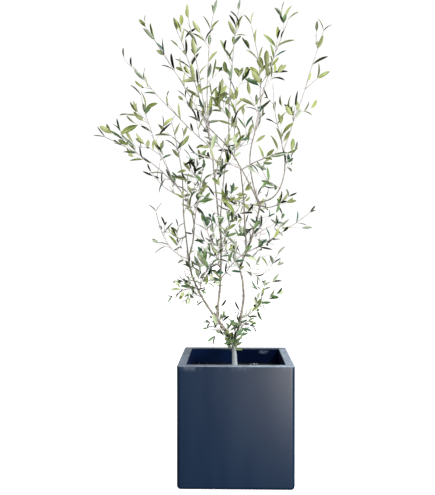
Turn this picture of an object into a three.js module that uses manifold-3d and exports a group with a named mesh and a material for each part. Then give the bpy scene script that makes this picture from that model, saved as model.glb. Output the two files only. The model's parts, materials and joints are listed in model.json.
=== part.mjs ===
// A young olive tree with several thin stems, growing in a square planter of dark slate-blue fibre clay.
// Sizes are millimetres and +Z is up. The origin is the centre of the planter's flat underside, and -Y is
// the front. The trunk forks just above the planter's rim and boughs rise from the fork. Every leafy shoot
// grows by one rule: a stem, side twigs round it, and pairs of narrow leaves, turned a quarter at each node.
import * as THREE from "three";
import { mergeVertices } from "three/addons/utils/BufferGeometryUtils.js";
import Module from "manifold-3d";

const wasm = await Module();
wasm.setup();

// The space left between neighbouring solids.
const CLEARANCE = 0.35;

const PLANTER = {
  side: 400,
  height: 420,
  wall: 30,
  floor: 30,
  cornerRadius: 7,
  edge: 3,
  innerCornerRadius: 5,
  drainDiameter: 16,
  drainSpacing: 180,
  drainSides: 8,
  cornerSegments: 2,
};
const SOIL_TOP = PLANTER.height - 55;

const TRUNK = {
  foot: [-3, 0, SOIL_TOP + CLEARANCE],
  tip: [-8, 0, 470],
  sweep: [2.5, 0, 0],
  thick: [19, 17],
  flare: 5,
  flareHeight: 22,
  ridges: 5,
  ridgeDepth: 0.35,
  roundedFrom: 0.9,
  sides: 10,
  segments: 7,
};

// A limb leaves its parent at a share of the parent's length and ends at its tip. Its sweep is how far its
// curve is pulled aside halfway, and thick is its diameter at each end.
const BOUGHS = [
  limb("left_stem", "trunk", 1, [-70, -15, 560], [0, 0, 8], [13, 10]),
  limb("right_stem", "trunk", 1, [15, 35, 750], [50, 10, 5], [9.5, 6.6]),
  limb("outer_left_bough", "left_stem", 1, [-170, -60, 785], [-40, -15, 5], [7.4, 5.4]),
  limb("centre_bough", "left_stem", 1, [-55, 15, 855], [15, 0, -10], [7.8, 5.8]),
  limb("left_upper_bough", "outer_left_bough", 1, [-175, -75, 990], [50, -5, 10], [5, 4]),
  limb("right_bough", "right_stem", 1, [90, 5, 985], [20, 10, -5], [6.2, 5]),
  limb("right_upper_bough", "right_bough", 1, [175, -30, 1175], [65, -5, -80], [4.6, 3.6]),
  limb("crossing_bough", "right_bough", 0.93, [-95, -75, 1245], [20, 5, 45], [4.6, 3.6]),
  limb("right_centre_bough", "right_bough", 0.97, [80, 75, 1270], [-60, 20, 5], [4.6, 3.6]),
  limb("centre_upper_bough", "centre_bough", 1, [-95, 10, 1225], [5, 5, -15], [5.4, 4]),
  limb("back_bough", "centre_bough", 0.72, [-25, 190, 1205], [-25, -5, 25], [5, 3.8]),
  limb("front_bough", "right_bough", 0.22, [15, -185, 1090], [5, -45, 50], [5, 3.8]),
  limb("left_back_bough", "outer_left_bough", 0.9, [-205, 130, 1085], [-10, 20, -25], [4.8, 3.6]),
];

// The leafy shoots, placed as the boughs are. Each has a number of side twigs, and its lowest twig's length.
const SHOOTS = [
  shoot("top_left_shoot", "crossing_bough", 1, [-318, -130, 1590], [-10, -15, 30], 2, 70),
  shoot("upper_left_shoot", "centre_upper_bough", 0.96, [-222, 70, 1640], [5, 10, 50], 3, 85),
  shoot("top_left_centre_shoot", "centre_upper_bough", 0.98, [-170, -45, 1650], [0, -10, 5], 3, 70),
  shoot("top_centre_left_shoot", "centre_upper_bough", 1, [-80, 0, 1678], [-30, -10, 5], 3, 80),
  shoot("top_centre_shoot", "back_bough", 1, [12, 60, 1712], [-20, -20, 35], 4, 85),
  shoot("top_centre_right_shoot", "right_centre_bough", 1, [60, 150, 1690], [50, 5, -40], 3, 85),
  shoot("top_right_shoot", "right_centre_bough", 0.9, [196, 20, 1665], [-30, 10, -15], 3, 85),
  shoot("right_top_shoot", "right_upper_bough", 1, [318, -40, 1600], [-5, -10, -20], 2, 75),
  shoot("right_upper_shoot", "right_upper_bough", 0.94, [140, 60, 1435], [-15, 10, 10], 2, 70),
  shoot("left_top_shoot", "centre_upper_bough", 0.9, [-385, 55, 1500], [-20, 15, -5], 3, 80),
  shoot("left_upper_shoot", "left_upper_bough", 1, [-335, -110, 1360], [-30, 5, -35], 5, 90),
  shoot("far_left_shoot", "left_upper_bough", 0.97, [-480, -30, 1222], [60, -15, 30], 6, 70),
  shoot("left_mid_shoot", "left_back_bough", 0.8, [-325, 120, 1110], [-10, 0, -30], 2, 70),
  shoot("left_lower_shoot", "outer_left_bough", 0.97, [-290, -30, 955], [-30, -10, -65], 3, 60),
  shoot("left_low_sprig", "outer_left_bough", 0.5, [-220, -130, 650], [12, 5, 20], 3, 46),
  shoot("left_inner_sprig", "outer_left_bough", 0.42, [-80, -110, 765], [-10, 0, 25], 3, 55),
  shoot("centre_inner_sprig", "centre_bough", 0.5, [30, -70, 800], [0, -10, 10], 3, 60),
  shoot("right_inner_sprig", "right_stem", 0.86, [-25, -25, 790], [15, -5, 25], 2, 50),
  shoot("right_low_sprig", "right_stem", 0.3, [95, -35, 645], [25, 10, -20], 3, 50),
  shoot("right_mid_sprig", "right_stem", 0.98, [160, 60, 750], [-10, 5, -50], 3, 60),
  shoot("right_lower_shoot", "right_bough", 0.22, [275, -20, 950], [-15, 10, -30], 4, 70),
  shoot("right_side_shoot", "right_bough", 0.95, [185, -120, 1000], [0, -5, -35], 3, 70),
  shoot("foot_right_sprig", "trunk", 0.97, [45, -85, 560], [-5, 5, 20], 3, 45),
  shoot("foot_left_sprig", "left_stem", 0.55, [-100, -95, 535], [-5, 5, -10], 1, 40),
  shoot("foot_sprig", "trunk", 0.84, [15, -60, 495], [0, 0, 0], 1, 35),
  shoot("front_left_shoot", "front_bough", 1, [-150, -235, 1135], [-5, -15, 5], 4, 75),
  shoot("front_right_shoot", "front_bough", 0.96, [165, -240, 1130], [10, -35, 20], 3, 70),
  shoot("front_low_shoot", "front_bough", 0.5, [-70, -260, 990], [-25, 0, -15], 4, 80),
  shoot("back_left_shoot", "back_bough", 0.95, [-205, 285, 1435], [-20, 35, -15], 3, 90),
  shoot("back_right_shoot", "back_bough", 0.9, [110, 300, 1355], [10, 50, -10], 4, 90),
  shoot("back_low_shoot", "back_bough", 0.55, [110, 270, 990], [15, 5, -30], 4, 80),
  shoot("left_back_shoot", "left_back_bough", 1, [-255, 205, 1320], [5, 15, 15], 3, 85),
  shoot("left_back_low_shoot", "left_back_bough", 0.6, [-160, 235, 1065], [-5, 20, 0], 3, 80),
  shoot("centre_low_shoot", "centre_bough", 0.62, [-115, -110, 910], [-10, -15, 45], 4, 80),
  shoot("centre_right_shoot", "centre_bough", 0.86, [15, -75, 965], [5, 5, 45], 3, 80),
  shoot("right_back_shoot", "right_bough", 0.45, [160, 165, 915], [0, 10, 0], 3, 80),
  shoot("crossing_low_shoot", "crossing_bough", 0.55, [0, -130, 1335], [-5, -25, 0], 3, 75),
  shoot("left_front_shoot", "left_upper_bough", 0.5, [-110, -165, 1100], [-5, -15, -10], 4, 75),
  shoot("left_back_base_shoot", "left_back_bough", 0.35, [-255, 120, 875], [15, 25, -35], 2, 60),
  shoot("centre_upper_right_shoot", "centre_upper_bough", 0.6, [-15, -15, 1255], [-10, 0, 15], 2, 60),
  shoot("right_inner_shoot", "right_upper_bough", 0.5, [95, -130, 1085], [-15, -15, -30], 2, 65),
];

const BOUGH = {
  segmentLength: 50,
  fewestSegments: 3,
  mostSegments: 7,
  thickFrom: 12,
  thickSides: 8,
  thinSides: 6,
};
const STEM = { thick: [3.4, 1.8], sides: 4, segments: 4, leaves: [0.2, 0.985], leafGap: 64 };
const TWIG = {
  ofStem: 0.7,
  tip: 1.1,
  sides: 3,
  segments: 1,
  lowest: 0.12,
  highest: 0.86,
  lean: 48,
  leanSpread: 10,
  lengthSpread: 0.2,
  rise: 0.22,
  shorterAtTop: 0.45,
  room: 5,
  leaves: [0.42, 0.95],
  leafGap: 44,
};
const LEAF = {
  length: 56,
  width: 14,
  shoulders: [
    { along: 0.38, side: -0.5, rise: 0 },
    { along: 0.54, side: 0.5, rise: 0 },
    { along: 0.72, side: -0.4, rise: 1 },
  ],
  lean: 48,
  tipLean: 28,
  leanSpread: 12,
  turnSpread: 0.25,
  sizeSpread: 0.16,
  roll: 45,
  sunk: 0.3,
  missing: 0.32,
  tipSize: 0.72,
  lowSize: 0.68,
  lowest: 500,
  highest: 1350,
  room: 8,
  roomToWood: 2,
};
const LINES_ALONG_LIMB = 8;
const LINES_ALONG_TWIG = 3;
const FIRST_SEED = 42;
const QUARTER_TURN = Math.PI / 2;
const TWIG_TURN = THREE.MathUtils.degToRad(137.5);
const UP = new THREE.Vector3(0, 0, 1);
const FRONT = new THREE.Vector3(0, -1, 0);

const bark = new THREE.MeshStandardMaterial({ color: 0x9a8f80, roughness: 0.85, metalness: 0 });
const foliage = new THREE.MeshStandardMaterial({ color: 0x7c8c4a, roughness: 0.6, metalness: 0 });
const fibreClay = new THREE.MeshStandardMaterial({ color: 0x2e3b50, roughness: 0.5, metalness: 0 });
const potting = new THREE.MeshStandardMaterial({ color: 0x2a211b, roughness: 0.95, metalness: 0 });

/** A repeatable source of numbers from 0 to 1. */
function seeded(seed) {
  let state = seed >>> 0;
  return () => {
    state = (state + 0x6d2b79f5) >>> 0;
    let mixed = Math.imul(state ^ (state >>> 15), state | 1);
    mixed ^= mixed + Math.imul(mixed ^ (mixed >>> 7), mixed | 61);
    return ((mixed ^ (mixed >>> 14)) >>> 0) / 4294967296;
  };
}

/** A bough: its parent and where it starts on it, its tip, its sweep, and its diameter at each end. */
function limb(name, from, at, tip, sweep, thick) {
  return { name, from, at, tip, sweep, thick };
}

/** A leafy shoot, placed as a bough is, with a number of side twigs and the length of the lowest one. */
function shoot(name, from, at, tip, sweep, twigs, reach) {
  return { name, from, at, tip, sweep, twigs, reach };
}

/** A number within spread of the middle. */
function around(middle, spread, random) {
  return middle + spread * (2 * random() - 1);
}

/** The closed solid of a three.js geometry. */
function solidOf(geometry) {
  geometry.deleteAttribute("normal");
  geometry.deleteAttribute("uv");
  const merged = mergeVertices(geometry, 1e-4);
  return new wasm.Manifold(
    new wasm.Mesh({
      numProp: 3,
      vertProperties: merged.getAttribute("position").array,
      triVerts: new Uint32Array(merged.index.array),
    }),
  );
}

/** The largest piece of a solid, without the scraps that a cut may leave. */
function largestPiece(solid) {
  return solid.decompose().reduce((best, piece) => (piece.volume() > best.volume() ? piece : best));
}

/** A named mesh of a solid. */
function meshOf(name, solid, material) {
  const made = solid.getMesh();
  const geometry = new THREE.BufferGeometry();
  geometry.setAttribute("position", new THREE.BufferAttribute(made.vertProperties, 3));
  geometry.setIndex(new THREE.BufferAttribute(made.triVerts, 1));
  geometry.computeVertexNormals();
  const mesh = new THREE.Mesh(geometry, material);
  mesh.name = name;
  return mesh;
}

/** A curve from a start to a tip, pulled aside halfway by its sweep. */
function limbCurve(start, tip, sweep) {
  const end = new THREE.Vector3(...tip);
  const pull = start.clone().add(end).multiplyScalar(0.5).add(new THREE.Vector3(...sweep));
  return new THREE.QuadraticBezierCurve3(start, pull, end);
}

/** The place on an axis at a share of its way, with the axis's direction and two directions across it. */
function frameAt({ curve, turn }, share) {
  const along = curve.getTangent(share);
  const bend = curve.v1.clone().sub(curve.v0).cross(curve.v2.clone().sub(curve.v1));
  const straight = bend.length() < 1;
  const across = (straight ? FRONT.clone().cross(along) : bend).normalize().applyAxisAngle(along, turn);
  return { point: curve.getPoint(share), along, across, beside: across.clone().cross(along) };
}

/** A direction across an axis at a turn round it. */
function outward({ across, beside }, turn) {
  return across.clone().multiplyScalar(Math.cos(turn)).addScaledVector(beside, Math.sin(turn));
}

/** A cylinder bent along an axis, whose radius depends on the share of the way and the turn round it. */
function limbGeometry(axis, radiusAt = axis.radiusAt) {
  const geometry = new THREE.CylinderGeometry(1, 1, 1, axis.sides, axis.segments);
  const position = geometry.getAttribute("position");
  for (let i = 0; i < position.count; i++) {
    const [x, z] = [position.getX(i), position.getZ(i)];
    const share = THREE.MathUtils.clamp(position.getY(i) + 0.5, 0, 1);
    const { point, across, beside } = frameAt(axis, share);
    const radius = radiusAt(share, Math.atan2(z, x));
    point.addScaledVector(across, radius * x).addScaledVector(beside, radius * z);
    position.setXYZ(i, point.x, point.y, point.z);
  }
  return geometry;
}

/** A radius that runs evenly from one diameter to another. */
function taper([first, last]) {
  return (share) => THREE.MathUtils.lerp(first, last, share) / 2;
}

/** The trunk's radius: an even taper, a ridged flare at the foot, and a rounded end inside the fork. */
function trunkRadius(share, turn) {
  const height = share * (TRUNK.tip[2] - TRUNK.foot[2]);
  const flare = TRUNK.flare * Math.exp(-height / TRUNK.flareHeight);
  const ridge = 1 + TRUNK.ridgeDepth * Math.cos(TRUNK.ridges * turn);
  const pastRounding = Math.max(0, (share - TRUNK.roundedFrom) / (1 - TRUNK.roundedFrom));
  const end = Math.sqrt(1 - 0.75 * pastRounding ** 2);
  return (taper(TRUNK.thick)(share) + flare * ridge) * end;
}

/** A limb as short straight lines, for measuring how close others come. */
function linesAlong(curve, count) {
  const points = curve.getPoints(count);
  return points.slice(1).map((end, i) => new THREE.Line3(points[i], end));
}

/** What already stands in the crown, so that each shoot keeps to a space of its own. */
class Crown {
  constructor() {
    this.taken = [];
  }

  /** Notes an owner's lines, how far the thing reaches beside them, and how near its own leaves may come. */
  take(owner, lines, radius, ownRoom) {
    this.taken.push(...lines.map((line) => ({ owner, line, radius, ownRoom })));
  }

  /** True if lines keep room to all that others have taken, and ownLines keep clear of the owner's own. */
  hasRoom(owner, lines, radius, room, ownLines = []) {
    return this.taken.every((other) => {
      const isOwn = other.owner === owner;
      const needed = isOwn ? other.ownRoom : other.radius + radius + room;
      const tested = isOwn ? ownLines : lines;
      return tested.every((line) => line.distanceSqToLine3(other.line) >= needed * needed);
    });
  }
}

/** A planter's square outline with round corners. */
function roundedSquare(side, radius) {
  const half = side / 2;
  const shape = new THREE.Shape();
  shape.absarc(half - radius, half - radius, radius, 0, QUARTER_TURN);
  shape.absarc(radius - half, half - radius, radius, QUARTER_TURN, 2 * QUARTER_TURN);
  shape.absarc(radius - half, radius - half, radius, 2 * QUARTER_TURN, 3 * QUARTER_TURN);
  shape.absarc(half - radius, radius - half, radius, 3 * QUARTER_TURN, 4 * QUARTER_TURN);
  return shape;
}

/** The planter: a thick-walled open box with softened edges and four drain holes. */
function makePlanter() {
  const { side, height, wall, floor, cornerRadius, edge, innerCornerRadius, cornerSegments } = PLANTER;
  const outline = roundedSquare(side - 2 * edge, cornerRadius - edge);
  const block = new THREE.ExtrudeGeometry(outline, {
    depth: height - 2 * edge,
    bevelThickness: edge,
    bevelSize: edge,
    bevelSegments: cornerSegments,
    curveSegments: cornerSegments,
  }).translate(0, 0, edge);
  const hollow = new THREE.ExtrudeGeometry(roundedSquare(side - 2 * wall, innerCornerRadius), {
    depth: height,
    bevelEnabled: false,
    curveSegments: cornerSegments,
  }).translate(0, 0, floor);
  let planter = solidOf(block).subtract(solidOf(hollow));
  const { drainDiameter, drainSpacing, drainSides } = PLANTER;
  for (const x of [-0.5, 0.5]) {
    for (const y of [-0.5, 0.5]) {
      const drain = new THREE.CylinderGeometry(drainDiameter / 2, drainDiameter / 2, 3 * floor, drainSides)
        .rotateX(QUARTER_TURN)
        .translate(x * drainSpacing, y * drainSpacing, 0);
      planter = planter.subtract(solidOf(drain));
    }
  }
  return planter;
}

/** The potting soil that fills the planter up to a little below its rim. */
function makeSoil() {
  const { side, wall, floor, innerCornerRadius, cornerSegments } = PLANTER;
  const outline = roundedSquare(side - 2 * wall - 2 * CLEARANCE, innerCornerRadius - CLEARANCE);
  const depth = SOIL_TOP - floor - CLEARANCE;
  const fill = new THREE.ExtrudeGeometry(outline, {
    depth,
    bevelEnabled: false,
    curveSegments: cornerSegments,
  });
  return solidOf(fill.translate(0, 0, floor + CLEARANCE));
}

/** A narrow leaf from its base along a direction: a closed blade, three shoulders between its two ends. */
function leafGeometry({ base, direction, face, length, width }) {
  const geometry = new THREE.SphereGeometry(1, 3, 2);
  const position = geometry.getAttribute("position");
  const side = face.clone().cross(direction);
  for (let i = 0; i < position.count; i++) {
    const end = Math.round(position.getY(i));
    const corner = Math.round(position.getZ(i));
    const shoulder = LEAF.shoulders[corner + 1];
    const along = end === 0 ? shoulder.along : (end + 1) / 2;
    const point = base.clone().addScaledVector(direction, length * along);
    if (end === 0) {
      point.addScaledVector(side, shoulder.side * width).addScaledVector(face, shoulder.rise);
    }
    position.setXYZ(i, point.x, point.y, point.z);
  }
  return geometry;
}

/** The leaf that grows from a place on an axis, leaning out at a turn round it. */
function placeLeaf(axis, share, turn, lean, size, random) {
  const frame = frameAt(axis, share);
  const { point, along } = frame;
  const out = outward(frame, turn);
  const direction = along.clone().multiplyScalar(Math.cos(lean)).addScaledVector(out, Math.sin(lean));
  const roll = THREE.MathUtils.degToRad(around(0, LEAF.roll, random));
  const face = along.addScaledVector(direction, -along.dot(direction)).normalize();
  face.applyAxisAngle(direction, roll);
  const length = LEAF.length * size;
  const base = point.addScaledVector(direction, -LEAF.sunk * axis.radiusAt(share));
  const tip = base.clone().addScaledVector(direction, length);
  return { base, tip, direction, face, length, width: LEAF.width * (0.3 + 0.7 * size) };
}

/** How large leaves grow at a height: those in the sun at the top are the longest. */
function sizeAtHeight(z) {
  const share = THREE.MathUtils.clamp((z - LEAF.lowest) / (LEAF.highest - LEAF.lowest), 0, 1);
  return THREE.MathUtils.lerp(LEAF.lowSize, 1, share);
}

/** The leaves of an axis: pairs that turn a quarter at each node, and a last pair at the tip. */
function leavesOn(axis, rule, random) {
  const leaves = [];
  const [first, last] = rule.leaves;
  const nodes = Math.max(1, Math.round((axis.curve.getLength() * (last - first)) / rule.leafGap));
  for (let node = 0; node <= nodes; node++) {
    const share = THREE.MathUtils.lerp(first, last, node / nodes);
    const meanLean = THREE.MathUtils.lerp(LEAF.lean, LEAF.tipLean, share ** 3);
    const { z } = axis.curve.getPoint(share);
    const meanSize = THREE.MathUtils.lerp(1, LEAF.tipSize, share ** 4) * sizeAtHeight(z);
    for (const side of [0, Math.PI]) {
      const turn = around((node + 0.5) * QUARTER_TURN + side, LEAF.turnSpread, random);
      const lean = THREE.MathUtils.degToRad(around(meanLean, LEAF.leanSpread, random));
      const size = meanSize * around(1, LEAF.sizeSpread, random);
      const leaf = placeLeaf(axis, share, turn, lean, size, random);
      const missing = random() < LEAF.missing * (1.5 - share);
      if (!missing) leaves.push(leaf);
    }
  }
  return leaves;
}

/** A side twig of a stem, which leans out at a turn round it and then rises. */
function placeTwig(stem, share, turn, length, random) {
  const frame = frameAt(stem, share);
  const { point, along } = frame;
  const lean = THREE.MathUtils.degToRad(around(TWIG.lean, TWIG.leanSpread, random));
  const out = outward(frame, turn);
  const direction = along.clone().multiplyScalar(Math.cos(lean)).addScaledVector(out, Math.sin(lean));
  const tip = point.clone().addScaledVector(direction, length).addScaledVector(UP, length * TWIG.rise);
  const curve = limbCurve(point, tip.toArray(), [0, 0, 0]);
  const { sides, segments } = TWIG;
  const radiusAt = taper([2 * TWIG.ofStem * stem.radiusAt(share), TWIG.tip]);
  return { curve, radiusAt, sides, segments, turn: random() * QUARTER_TURN };
}

/** The side twigs of a shoot that find room in the crown. */
function twigsOn(shoot, stem, crown, random) {
  const twigs = [];
  const startTurn = random() * 2 * Math.PI;
  for (let i = 0; i < shoot.twigs; i++) {
    const share = THREE.MathUtils.lerp(TWIG.lowest, TWIG.highest, (i + 0.5 * random()) / shoot.twigs);
    const length = shoot.reach * (1 - TWIG.shorterAtTop * share) * around(1, TWIG.lengthSpread, random);
    const twig = placeTwig(stem, share, startTurn + i * TWIG_TURN, length, random);
    const lines = linesAlong(twig.curve, LINES_ALONG_TWIG);
    const radius = twig.radiusAt(0);
    if (crown.hasRoom(shoot.name, lines, radius, TWIG.room)) {
      crown.take(shoot.name, lines, radius, LEAF.roomToWood);
      twigs.push(twig);
    }
  }
  return twigs;
}

/** The leaves of a shoot's stem and twigs that find room in the crown. */
function leavesOf(shoot, stem, twigs, crown, random) {
  const wanted = leavesOn(stem, STEM, random);
  for (const twig of twigs) {
    wanted.push(...leavesOn(twig, TWIG, random));
  }
  return wanted.filter((leaf) => {
    const outer = new THREE.Line3(leaf.base.clone().lerp(leaf.tip, 0.35), leaf.tip);
    const whole = new THREE.Line3(leaf.base, leaf.tip);
    const hasRoom = crown.hasRoom(shoot.name, [whole], leaf.width / 2, CLEARANCE, [outer]);
    if (hasRoom) crown.take(shoot.name, [outer], leaf.width / 2, LEAF.room);
    return hasRoom;
  });
}

/** The start of a limb, on its parent's middle line. */
function startOf(limb, axes) {
  return axes.get(limb.from).curve.getPoint(limb.at);
}

/** The middle lines of the trunk, the boughs and the shoots' stems, by name. */
function layOutLimbs(crown) {
  const axes = new Map();
  const foot = new THREE.Vector3(...TRUNK.foot);
  axes.set("trunk", {
    curve: limbCurve(foot, TRUNK.tip, TRUNK.sweep),
    radiusAt: trunkRadius,
    sides: TRUNK.sides,
    segments: TRUNK.segments,
    turn: 0,
  });
  for (const bough of BOUGHS) {
    const curve = limbCurve(startOf(bough, axes), bough.tip, bough.sweep);
    const wanted = Math.round(curve.getLength() / BOUGH.segmentLength);
    const segments = THREE.MathUtils.clamp(wanted, BOUGH.fewestSegments, BOUGH.mostSegments);
    const sides = bough.thick[0] > BOUGH.thickFrom ? BOUGH.thickSides : BOUGH.thinSides;
    axes.set(bough.name, { curve, radiusAt: taper(bough.thick), sides, segments, turn: Math.PI / sides });
  }
  for (const shoot of SHOOTS) {
    const curve = limbCurve(startOf(shoot, axes), shoot.tip, shoot.sweep);
    const { sides, segments } = STEM;
    axes.set(shoot.name, { curve, radiusAt: taper(STEM.thick), sides, segments, turn: Math.PI / sides });
  }
  for (const [name, axis] of axes) {
    crown.take(name, linesAlong(axis.curve, LINES_ALONG_LIMB), axis.radiusAt(0.3, 0), LEAF.roomToWood);
  }
  return axes;
}

/** Cuts a limb clear of the earlier limbs that it starts on or beside. */
function cutClear(solid, earlier) {
  const box = solid.boundingBox();
  let cut = solid;
  for (const other of earlier) {
    const apart = [0, 1, 2].some((k) => other.box.min[k] > box.max[k] || other.box.max[k] < box.min[k]);
    if (!apart) cut = cut.subtract(other.solid);
  }
  return largestPiece(cut);
}

/** The tree: each limb and each leafy shoot as one mesh, clear of all the others. */
function makeTree() {
  const crown = new Crown();
  const axes = layOutLimbs(crown);
  const grown = [];
  const solids = new Map();
  for (const [name, axis] of axes) {
    const wider = (share, turn) => axis.radiusAt(share, turn) + CLEARANCE;
    const clear = solidOf(limbGeometry(axis, wider));
    solids.set(name, cutClear(solidOf(limbGeometry(axis)), grown));
    grown.push({ solid: clear, box: clear.boundingBox() });
  }

  const limbs = ["trunk", ...BOUGHS.map((bough) => bough.name)];
  const meshes = limbs.map((name) => meshOf(name, solids.get(name), bark));
  const random = SHOOTS.map((_, i) => seeded(FIRST_SEED + i));
  const twigs = SHOOTS.map((shoot, i) => twigsOn(shoot, axes.get(shoot.name), crown, random[i]));
  SHOOTS.forEach((shoot, i) => {
    const leaves = leavesOf(shoot, axes.get(shoot.name), twigs[i], crown, random[i]);
    const parts = [
      solids.get(shoot.name),
      ...twigs[i].map((twig) => solidOf(limbGeometry(twig))),
      ...leaves.map((leaf) => solidOf(leafGeometry(leaf))),
    ];
    meshes.push(meshOf(shoot.name, largestPiece(wasm.Manifold.union(parts)), foliage));
  });
  return meshes;
}

const olive = new THREE.Group();
olive.add(meshOf("planter", makePlanter(), fibreClay));
olive.add(meshOf("soil", makeSoil(), potting));
olive.add(...makeTree());

export default olive;
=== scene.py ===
"""Dresses a young olive tree that grows in a square planter of slate-blue fibre clay.

The solids give every limb and leafy shoot its place. The same rule grows the crown again here and carries it
to finer twigs, and the planter, the soil, the bark and the leaves get their finished surfaces.
"""

import json
import logging
import math
from collections import Counter
from dataclasses import dataclass
from enum import Enum

import bmesh
import bpy
import numpy as np
from mathutils import Matrix, Quaternion, Vector, noise

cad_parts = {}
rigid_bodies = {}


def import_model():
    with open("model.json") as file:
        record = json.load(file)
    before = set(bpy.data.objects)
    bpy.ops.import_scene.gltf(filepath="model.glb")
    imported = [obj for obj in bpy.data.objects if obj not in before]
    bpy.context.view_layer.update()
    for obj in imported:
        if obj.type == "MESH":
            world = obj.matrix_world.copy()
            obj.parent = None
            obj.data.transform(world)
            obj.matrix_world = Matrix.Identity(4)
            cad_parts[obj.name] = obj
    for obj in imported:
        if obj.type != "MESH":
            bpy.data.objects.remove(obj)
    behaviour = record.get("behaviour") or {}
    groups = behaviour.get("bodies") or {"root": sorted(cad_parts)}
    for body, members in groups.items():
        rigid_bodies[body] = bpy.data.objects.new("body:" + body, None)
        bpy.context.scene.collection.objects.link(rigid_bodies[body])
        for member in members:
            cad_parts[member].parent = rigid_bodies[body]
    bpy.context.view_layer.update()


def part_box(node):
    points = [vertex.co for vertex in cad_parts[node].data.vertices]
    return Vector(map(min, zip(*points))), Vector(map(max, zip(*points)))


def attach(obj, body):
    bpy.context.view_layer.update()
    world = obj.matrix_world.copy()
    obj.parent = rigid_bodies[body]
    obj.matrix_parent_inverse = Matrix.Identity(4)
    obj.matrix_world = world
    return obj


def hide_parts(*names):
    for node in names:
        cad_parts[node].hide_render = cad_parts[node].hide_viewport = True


BODY = "root"
MM = 0.001
WORD = 0xFFFFFFFF
QUARTER_TURN = math.pi / 2
FULL_TURN = 2 * math.pi
TWIG_TURN = math.radians(137.5)
PAIR_TURNS = (0.0, math.pi)
UP = Vector((0, 0, 1))
FRONT = Vector((0, -1, 0))
WHITE = (1.0, 1.0, 1.0, 1.0)
SHOOT_SEED = 42

Pair = tuple[float, float]
Triple = tuple[float, float, float]
Colour = tuple[float, float, float, float]
Area = tuple[float, float, float, float]
Place = Vector | Triple
Line = tuple[Vector, Vector]
Faces = list[list[int]]
Socket = bpy.types.NodeSocket

log = logging.getLogger("olive")


def linear(red: int, green: int, blue: int) -> Colour:
    """Turns a colour of 8-bit screen values into the linear values of a shader, by the usual screen curve.

    Args:
        red: The red value, from 0 to 255.
        green: The green value.
        blue: The blue value.

    Returns:
        The linear red, green and blue, and an opacity of 1.
    """
    parts = [value / 255 for value in (red, green, blue)]
    curved = [p / 12.92 if p <= 0.04045 else ((p + 0.055) / 1.055) ** 2.4 for p in parts]
    return (*curved, 1.0)


def lerp(first: float, last: float, share: float) -> float:
    """The value at a share of the way from the first to the last."""
    return first + (last - first) * share


def clamp(value: float) -> float:
    """The value, kept between 0 and 1."""
    return max(0.0, min(1.0, value))


def metres(*millimetres: float) -> tuple[float, ...]:
    """Sizes in millimetres, turned into metres."""
    return tuple(size * MM for size in millimetres)


class Draws:
    """A repeatable source of numbers from 0 to 1."""

    stride: int = 0x6D2B79F5

    def __init__(self, seed: int) -> None:
        """Starts the source at a seed."""
        self.state = seed & WORD

    def next(self) -> float:
        """Steps on and mixes the bits of the state, as the solids' script does.

        Returns:
            The next number.
        """
        self.state = (self.state + self.stride) & WORD
        mixed = ((self.state ^ (self.state >> 15)) * (self.state | 1)) & WORD
        mixed ^= (mixed + (((mixed ^ (mixed >> 7)) * (mixed | 61)) & WORD)) & WORD
        return (mixed ^ (mixed >> 14)) / (WORD + 1)

    def around(self, middle: float, spread: float) -> float:
        """A number within spread of the middle."""
        return middle + spread * (2 * self.next() - 1)

    def between(self, low: float, high: float) -> float:
        """A number from low to high."""
        return low + (high - low) * self.next()


@dataclass(frozen=True)
class Limb:
    """A limb that leaves its parent at a share of its length. Its sweep pulls its curve aside halfway."""

    name: str
    parent: str
    at: float
    tip: Triple
    sweep: Triple
    thick: Pair


@dataclass(frozen=True)
class Shoot(Limb):
    """A leafy shoot: a limb with a number of side twigs, the lowest of which has the given reach."""

    twigs: int
    reach: float


STEM_THICK = metres(3.4, 1.8)


def bough(name: str, parent: str, at: float, tip: Triple, sweep: Triple, first: float, last: float) -> Limb:
    """A bough from its sizes in millimetres: where it ends, its sweep, and its diameter at each end."""
    return Limb(name, parent, at, metres(*tip), metres(*sweep), metres(first, last))


def shoot(name: str, parent: str, at: float, tip: Triple, sweep: Triple, twigs: int, reach: float) -> Shoot:
    """A leafy shoot from its sizes in millimetres."""
    return Shoot(name, parent, at, metres(*tip), metres(*sweep), STEM_THICK, twigs, reach * MM)


BOUGHS = (
    bough("left_stem", "trunk", 1, (-70, -15, 560), (0, 0, 8), 13, 10),
    bough("right_stem", "trunk", 1, (15, 35, 750), (50, 10, 5), 9.5, 6.6),
    bough("outer_left_bough", "left_stem", 1, (-170, -60, 785), (-40, -15, 5), 7.4, 5.4),
    bough("centre_bough", "left_stem", 1, (-55, 15, 855), (15, 0, -10), 7.8, 5.8),
    bough("left_upper_bough", "outer_left_bough", 1, (-175, -75, 990), (50, -5, 10), 5, 4),
    bough("right_bough", "right_stem", 1, (90, 5, 985), (20, 10, -5), 6.2, 5),
    bough("right_upper_bough", "right_bough", 1, (175, -30, 1175), (65, -5, -80), 4.6, 3.6),
    bough("crossing_bough", "right_bough", 0.93, (-95, -75, 1245), (20, 5, 45), 4.6, 3.6),
    bough("right_centre_bough", "right_bough", 0.97, (80, 75, 1270), (-60, 20, 5), 4.6, 3.6),
    bough("centre_upper_bough", "centre_bough", 1, (-95, 10, 1225), (5, 5, -15), 5.4, 4),
    bough("back_bough", "centre_bough", 0.72, (-25, 190, 1205), (-25, -5, 25), 5, 3.8),
    bough("front_bough", "right_bough", 0.22, (15, -185, 1090), (5, -45, 50), 5, 3.8),
    bough("left_back_bough", "outer_left_bough", 0.9, (-205, 130, 1085), (-10, 20, -25), 4.8, 3.6),
)
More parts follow.
